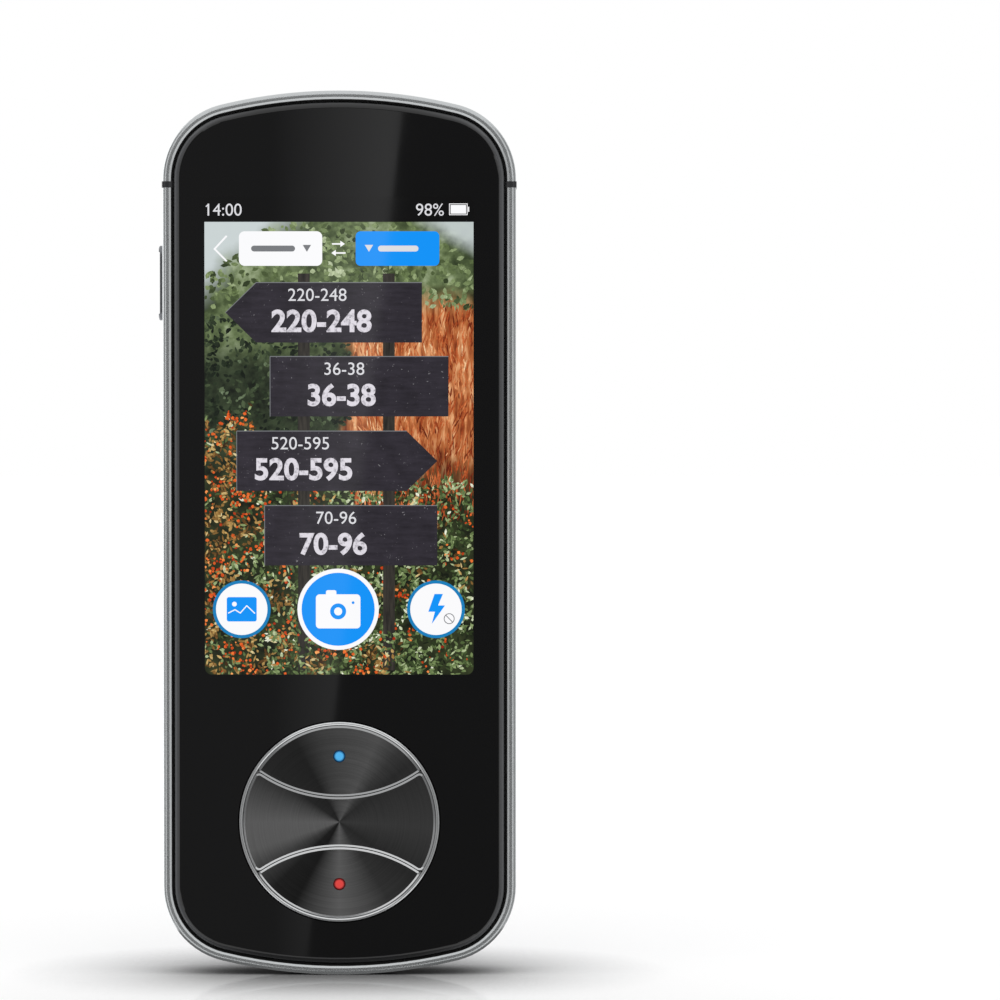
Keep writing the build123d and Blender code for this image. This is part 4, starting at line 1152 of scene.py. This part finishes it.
films(
    "picture_button_lines",
    [
        disc(4.25, button_row - 0.75, 0.34),
        stroke((3.35, button_row + 0.55), (4.35, button_row + 0.05), 0.16),
        stroke((4.3, button_row + 0.03), (5.1, button_row + 0.55), 0.16),
        stroke((5.05, button_row + 0.58), (6.05, button_row - 0.55), 0.16),
        stroke((6.0, button_row - 0.55), (7.2, button_row + 0.6), 0.16),
    ],
    7,
    white_film,
)
films(
    "flash_off_mark",
    ring(35.1, button_row + 1.35, 0.72, 0.12)
    + [stroke((34.6, button_row + 0.85), (35.6, button_row + 1.85), 0.12)],
    7,
    grey_film,
)
films(
    "shutter_mark",
    [
        rectangle(15.95, button_row - 2.15, 6.4, 4.9, 0.55),
        rectangle(17.4, button_row - 2.75, 1.5, 0.9, 0.3),
    ],
    6,
    white_film,
)
films(
    "shutter_mark_ring",
    [disc(shutter_middle, button_row + 0.3, 1.15), disc(21.3, button_row - 0.95, 0.2)],
    7,
    blue_film,
)
films("shutter_mark_centre", [disc(shutter_middle, button_row + 0.3, 0.58)], 8, white_film)

# ------------------------------------------------------------------------------------------------
# Studio: floor, world, cards and camera
# ------------------------------------------------------------------------------------------------
# The device stands on its lower end on a glossy white table in an even white tent. A contact
# shadow from ambient occlusion is painted into the table's colour where the foot meets it, and the
# table mirrors only what is near. Cards that only mirror-like surfaces see put dark and bright
# bands on the metal and the glass.

floor_level = cad_box[0].z
table_size = 12.0
contact_reach, mirror_reach = 0.025, 0.12
bpy.ops.mesh.primitive_plane_add(size=table_size, location=(0.0, 0.0, floor_level))
floor = bpy.context.object
floor.name = "table_top"
floor.visible_glossy = False
table = Finish("white_table")
tree = table.tree
open_share, open_around = (
    table.node("ShaderNodeAmbientOcclusion", {"samples": 8}, {"Distance": reach}, "AO")
    for reach in (contact_reach, mirror_reach)
)
# Painted contact shadow: the table's colour and its lift darken with the occlusion near the foot
painted_shadow_lightness = open_share * open_share
table_colour_with_painted_shadow = table.mix(painted_shadow_lightness, grey(0.03), grey(0.96))
shine = table.node("ShaderNodeBsdfGlossy", inputs={"Roughness": 0.05, "Color": table_colour_with_painted_shadow})
matt = table.node("ShaderNodeBsdfDiffuse", inputs={"Color": table_colour_with_painted_shadow})
mirror_share = table.node("ShaderNodeFresnel", inputs={"IOR": 1.5})
mirror_share = mirror_share * (1 - open_around.step(0.5, 1.0)) * 0.7
mixed = table.node("ShaderNodeMixShader", inputs=[mirror_share, matt, shine])
seen = table.node("ShaderNodeLightPath", output="Is Camera Ray")
for kind_of_ray in ("Is Glossy Ray", "Is Transmission Ray"):
    seen = seen.math("MAXIMUM", table.node("ShaderNodeLightPath", output=kind_of_ray))
lift = table.node("ShaderNodeEmission", inputs={"Strength": seen * painted_shadow_lightness * 0.08})
both = table.node("ShaderNodeAddShader", inputs=[mixed, lift])
tree.links.new(both.socket, tree.nodes["Material Output"].inputs["Surface"])
floor.data.materials.append(table.material)

world = bpy.data.worlds.new("white_tent")
world.use_nodes = True
world.node_tree.nodes["Background"].inputs["Color"].default_value = (1.0, 1.0, 1.0, 1.0)
world.node_tree.nodes["Background"].inputs["Strength"].default_value = 1.0
bpy.context.scene.world = world


def card(name, corners, level, rise_across=None):
    """A flat card that shows only in reflections. Its glow may rise between two places across."""
    mesh = bpy.data.meshes.new(name)
    mesh.from_pydata(corners, [], [list(range(len(corners)))])
    made = bpy.data.objects.new(name, mesh)
    bpy.context.scene.collection.objects.link(made)
    made.visible_camera = made.visible_diffuse = made.visible_shadow = False
    made.visible_transmission = False
    finish = Finish(name)
    if rise_across:
        start, end, top_level = rise_across
        share = (finish.across - start) / (end - start)
        level = share.math("MAXIMUM", 0.0).math("MINIMUM", 1.0) * (top_level - level) + level
    light = finish.node("ShaderNodeEmission", inputs={"Strength": level})
    finish.tree.links.new(light.socket, finish.tree.nodes["Material Output"].inputs["Surface"])
    mesh.materials.append(finish.material)


frame_width = 0.1436
camera_reach = 0.6
aim = Vector((0.0231, -glass_height / 1000, 0.0048))
rise = radians(1.0)
eye = aim + camera_reach * Vector((0.0, -cos(rise), sin(rise)))

# Around the camera hangs a dark card. A lighter one before it ends in a slanted edge that crosses
# the glass, and grows brighter towards that edge.
card_reach = 1.0
spread_out = (camera_reach + card_reach) / camera_reach
card_y = aim.y - card_reach


def mirrored(x, z):
    """The place on the cards behind the camera that shows at a place on the glass."""
    return (eye.x + (x - eye.x) * spread_out, card_y, eye.z + (z - eye.z) * spread_out)


dark_right, dark_top = 0.12, 0.14
dark_corners = ((-dark_right, -dark_top), (dark_right, -dark_top))
dark_corners += ((dark_right, dark_top), (-dark_right, dark_top))
card("dark_card", [mirrored(x, z) for x, z in dark_corners], 0.15)

light_left, light_top = -0.06, 0.07
edge_at_middle, edge_slant = 0.0025, 0.113
edge_low = edge_at_middle - light_top * edge_slant
edge_high = edge_at_middle + light_top * edge_slant
light_corners = ((light_left, -light_top), (edge_low, -light_top))
light_corners += ((edge_high, light_top), (light_left, light_top))
lighter = [mirrored(x, z) for x, z in light_corners]
dim_end, bright_end = (mirrored(x, 0)[0] * 1000 for x in (-0.009, 0.007))
card("light_card", [(x, y + 0.02, z) for x, y, z in lighter], 0.22, (dim_end, bright_end, 0.8))

# A small card just under the table darkens the foot of the casing. Grey cards stand at both sides,
# and a bright one behind to the left lights the edge of the back.
low_right, low_front, low_back = 0.034, -0.018, 0.01
low = floor_level - 0.002
low_corners = [(-low_right, low_front, low), (low_right, low_front, low)]
low_corners += [(low_right, low_back, low), (-low_right, low_back, low)]
card("low_card", low_corners, 0.2)
side_reach = 0.6
side_foot = -0.4


def side_card(name, angle, spread, top, level):
    """An upright card at an angle round the device, from the front, where the right is positive."""
    first, last = radians(angle - spread), radians(angle + spread)
    (x, y), (far_x, far_y) = ((side_reach * sin(a), -side_reach * cos(a)) for a in (first, last))
    corners = [(x, y, side_foot), (far_x, far_y, side_foot), (far_x, far_y, top), (x, y, top)]
    card(name, corners, level)


side_card("right_grey_card", 80, 36, top=0.5, level=0.4)
side_card("left_grey_card", -68, 24, top=0.5, level=0.36)
side_card("left_bright_card", -126, 27, top=0.4, level=1.9)

camera_data = bpy.data.cameras.new("camera")
camera_data.sensor_width = 36.0
camera_data.clip_start = 0.01
camera_data.lens = camera_data.sensor_width * camera_reach / frame_width
camera = bpy.data.objects.new("camera", camera_data)
bpy.context.scene.collection.objects.link(camera)
camera.location = eye
camera.rotation_mode = "QUATERNION"
camera.rotation_quaternion = (aim - eye).to_track_quat("-Z", "Y")
bpy.context.scene.camera = camera
bpy.context.scene.view_settings.view_transform = "Standard"
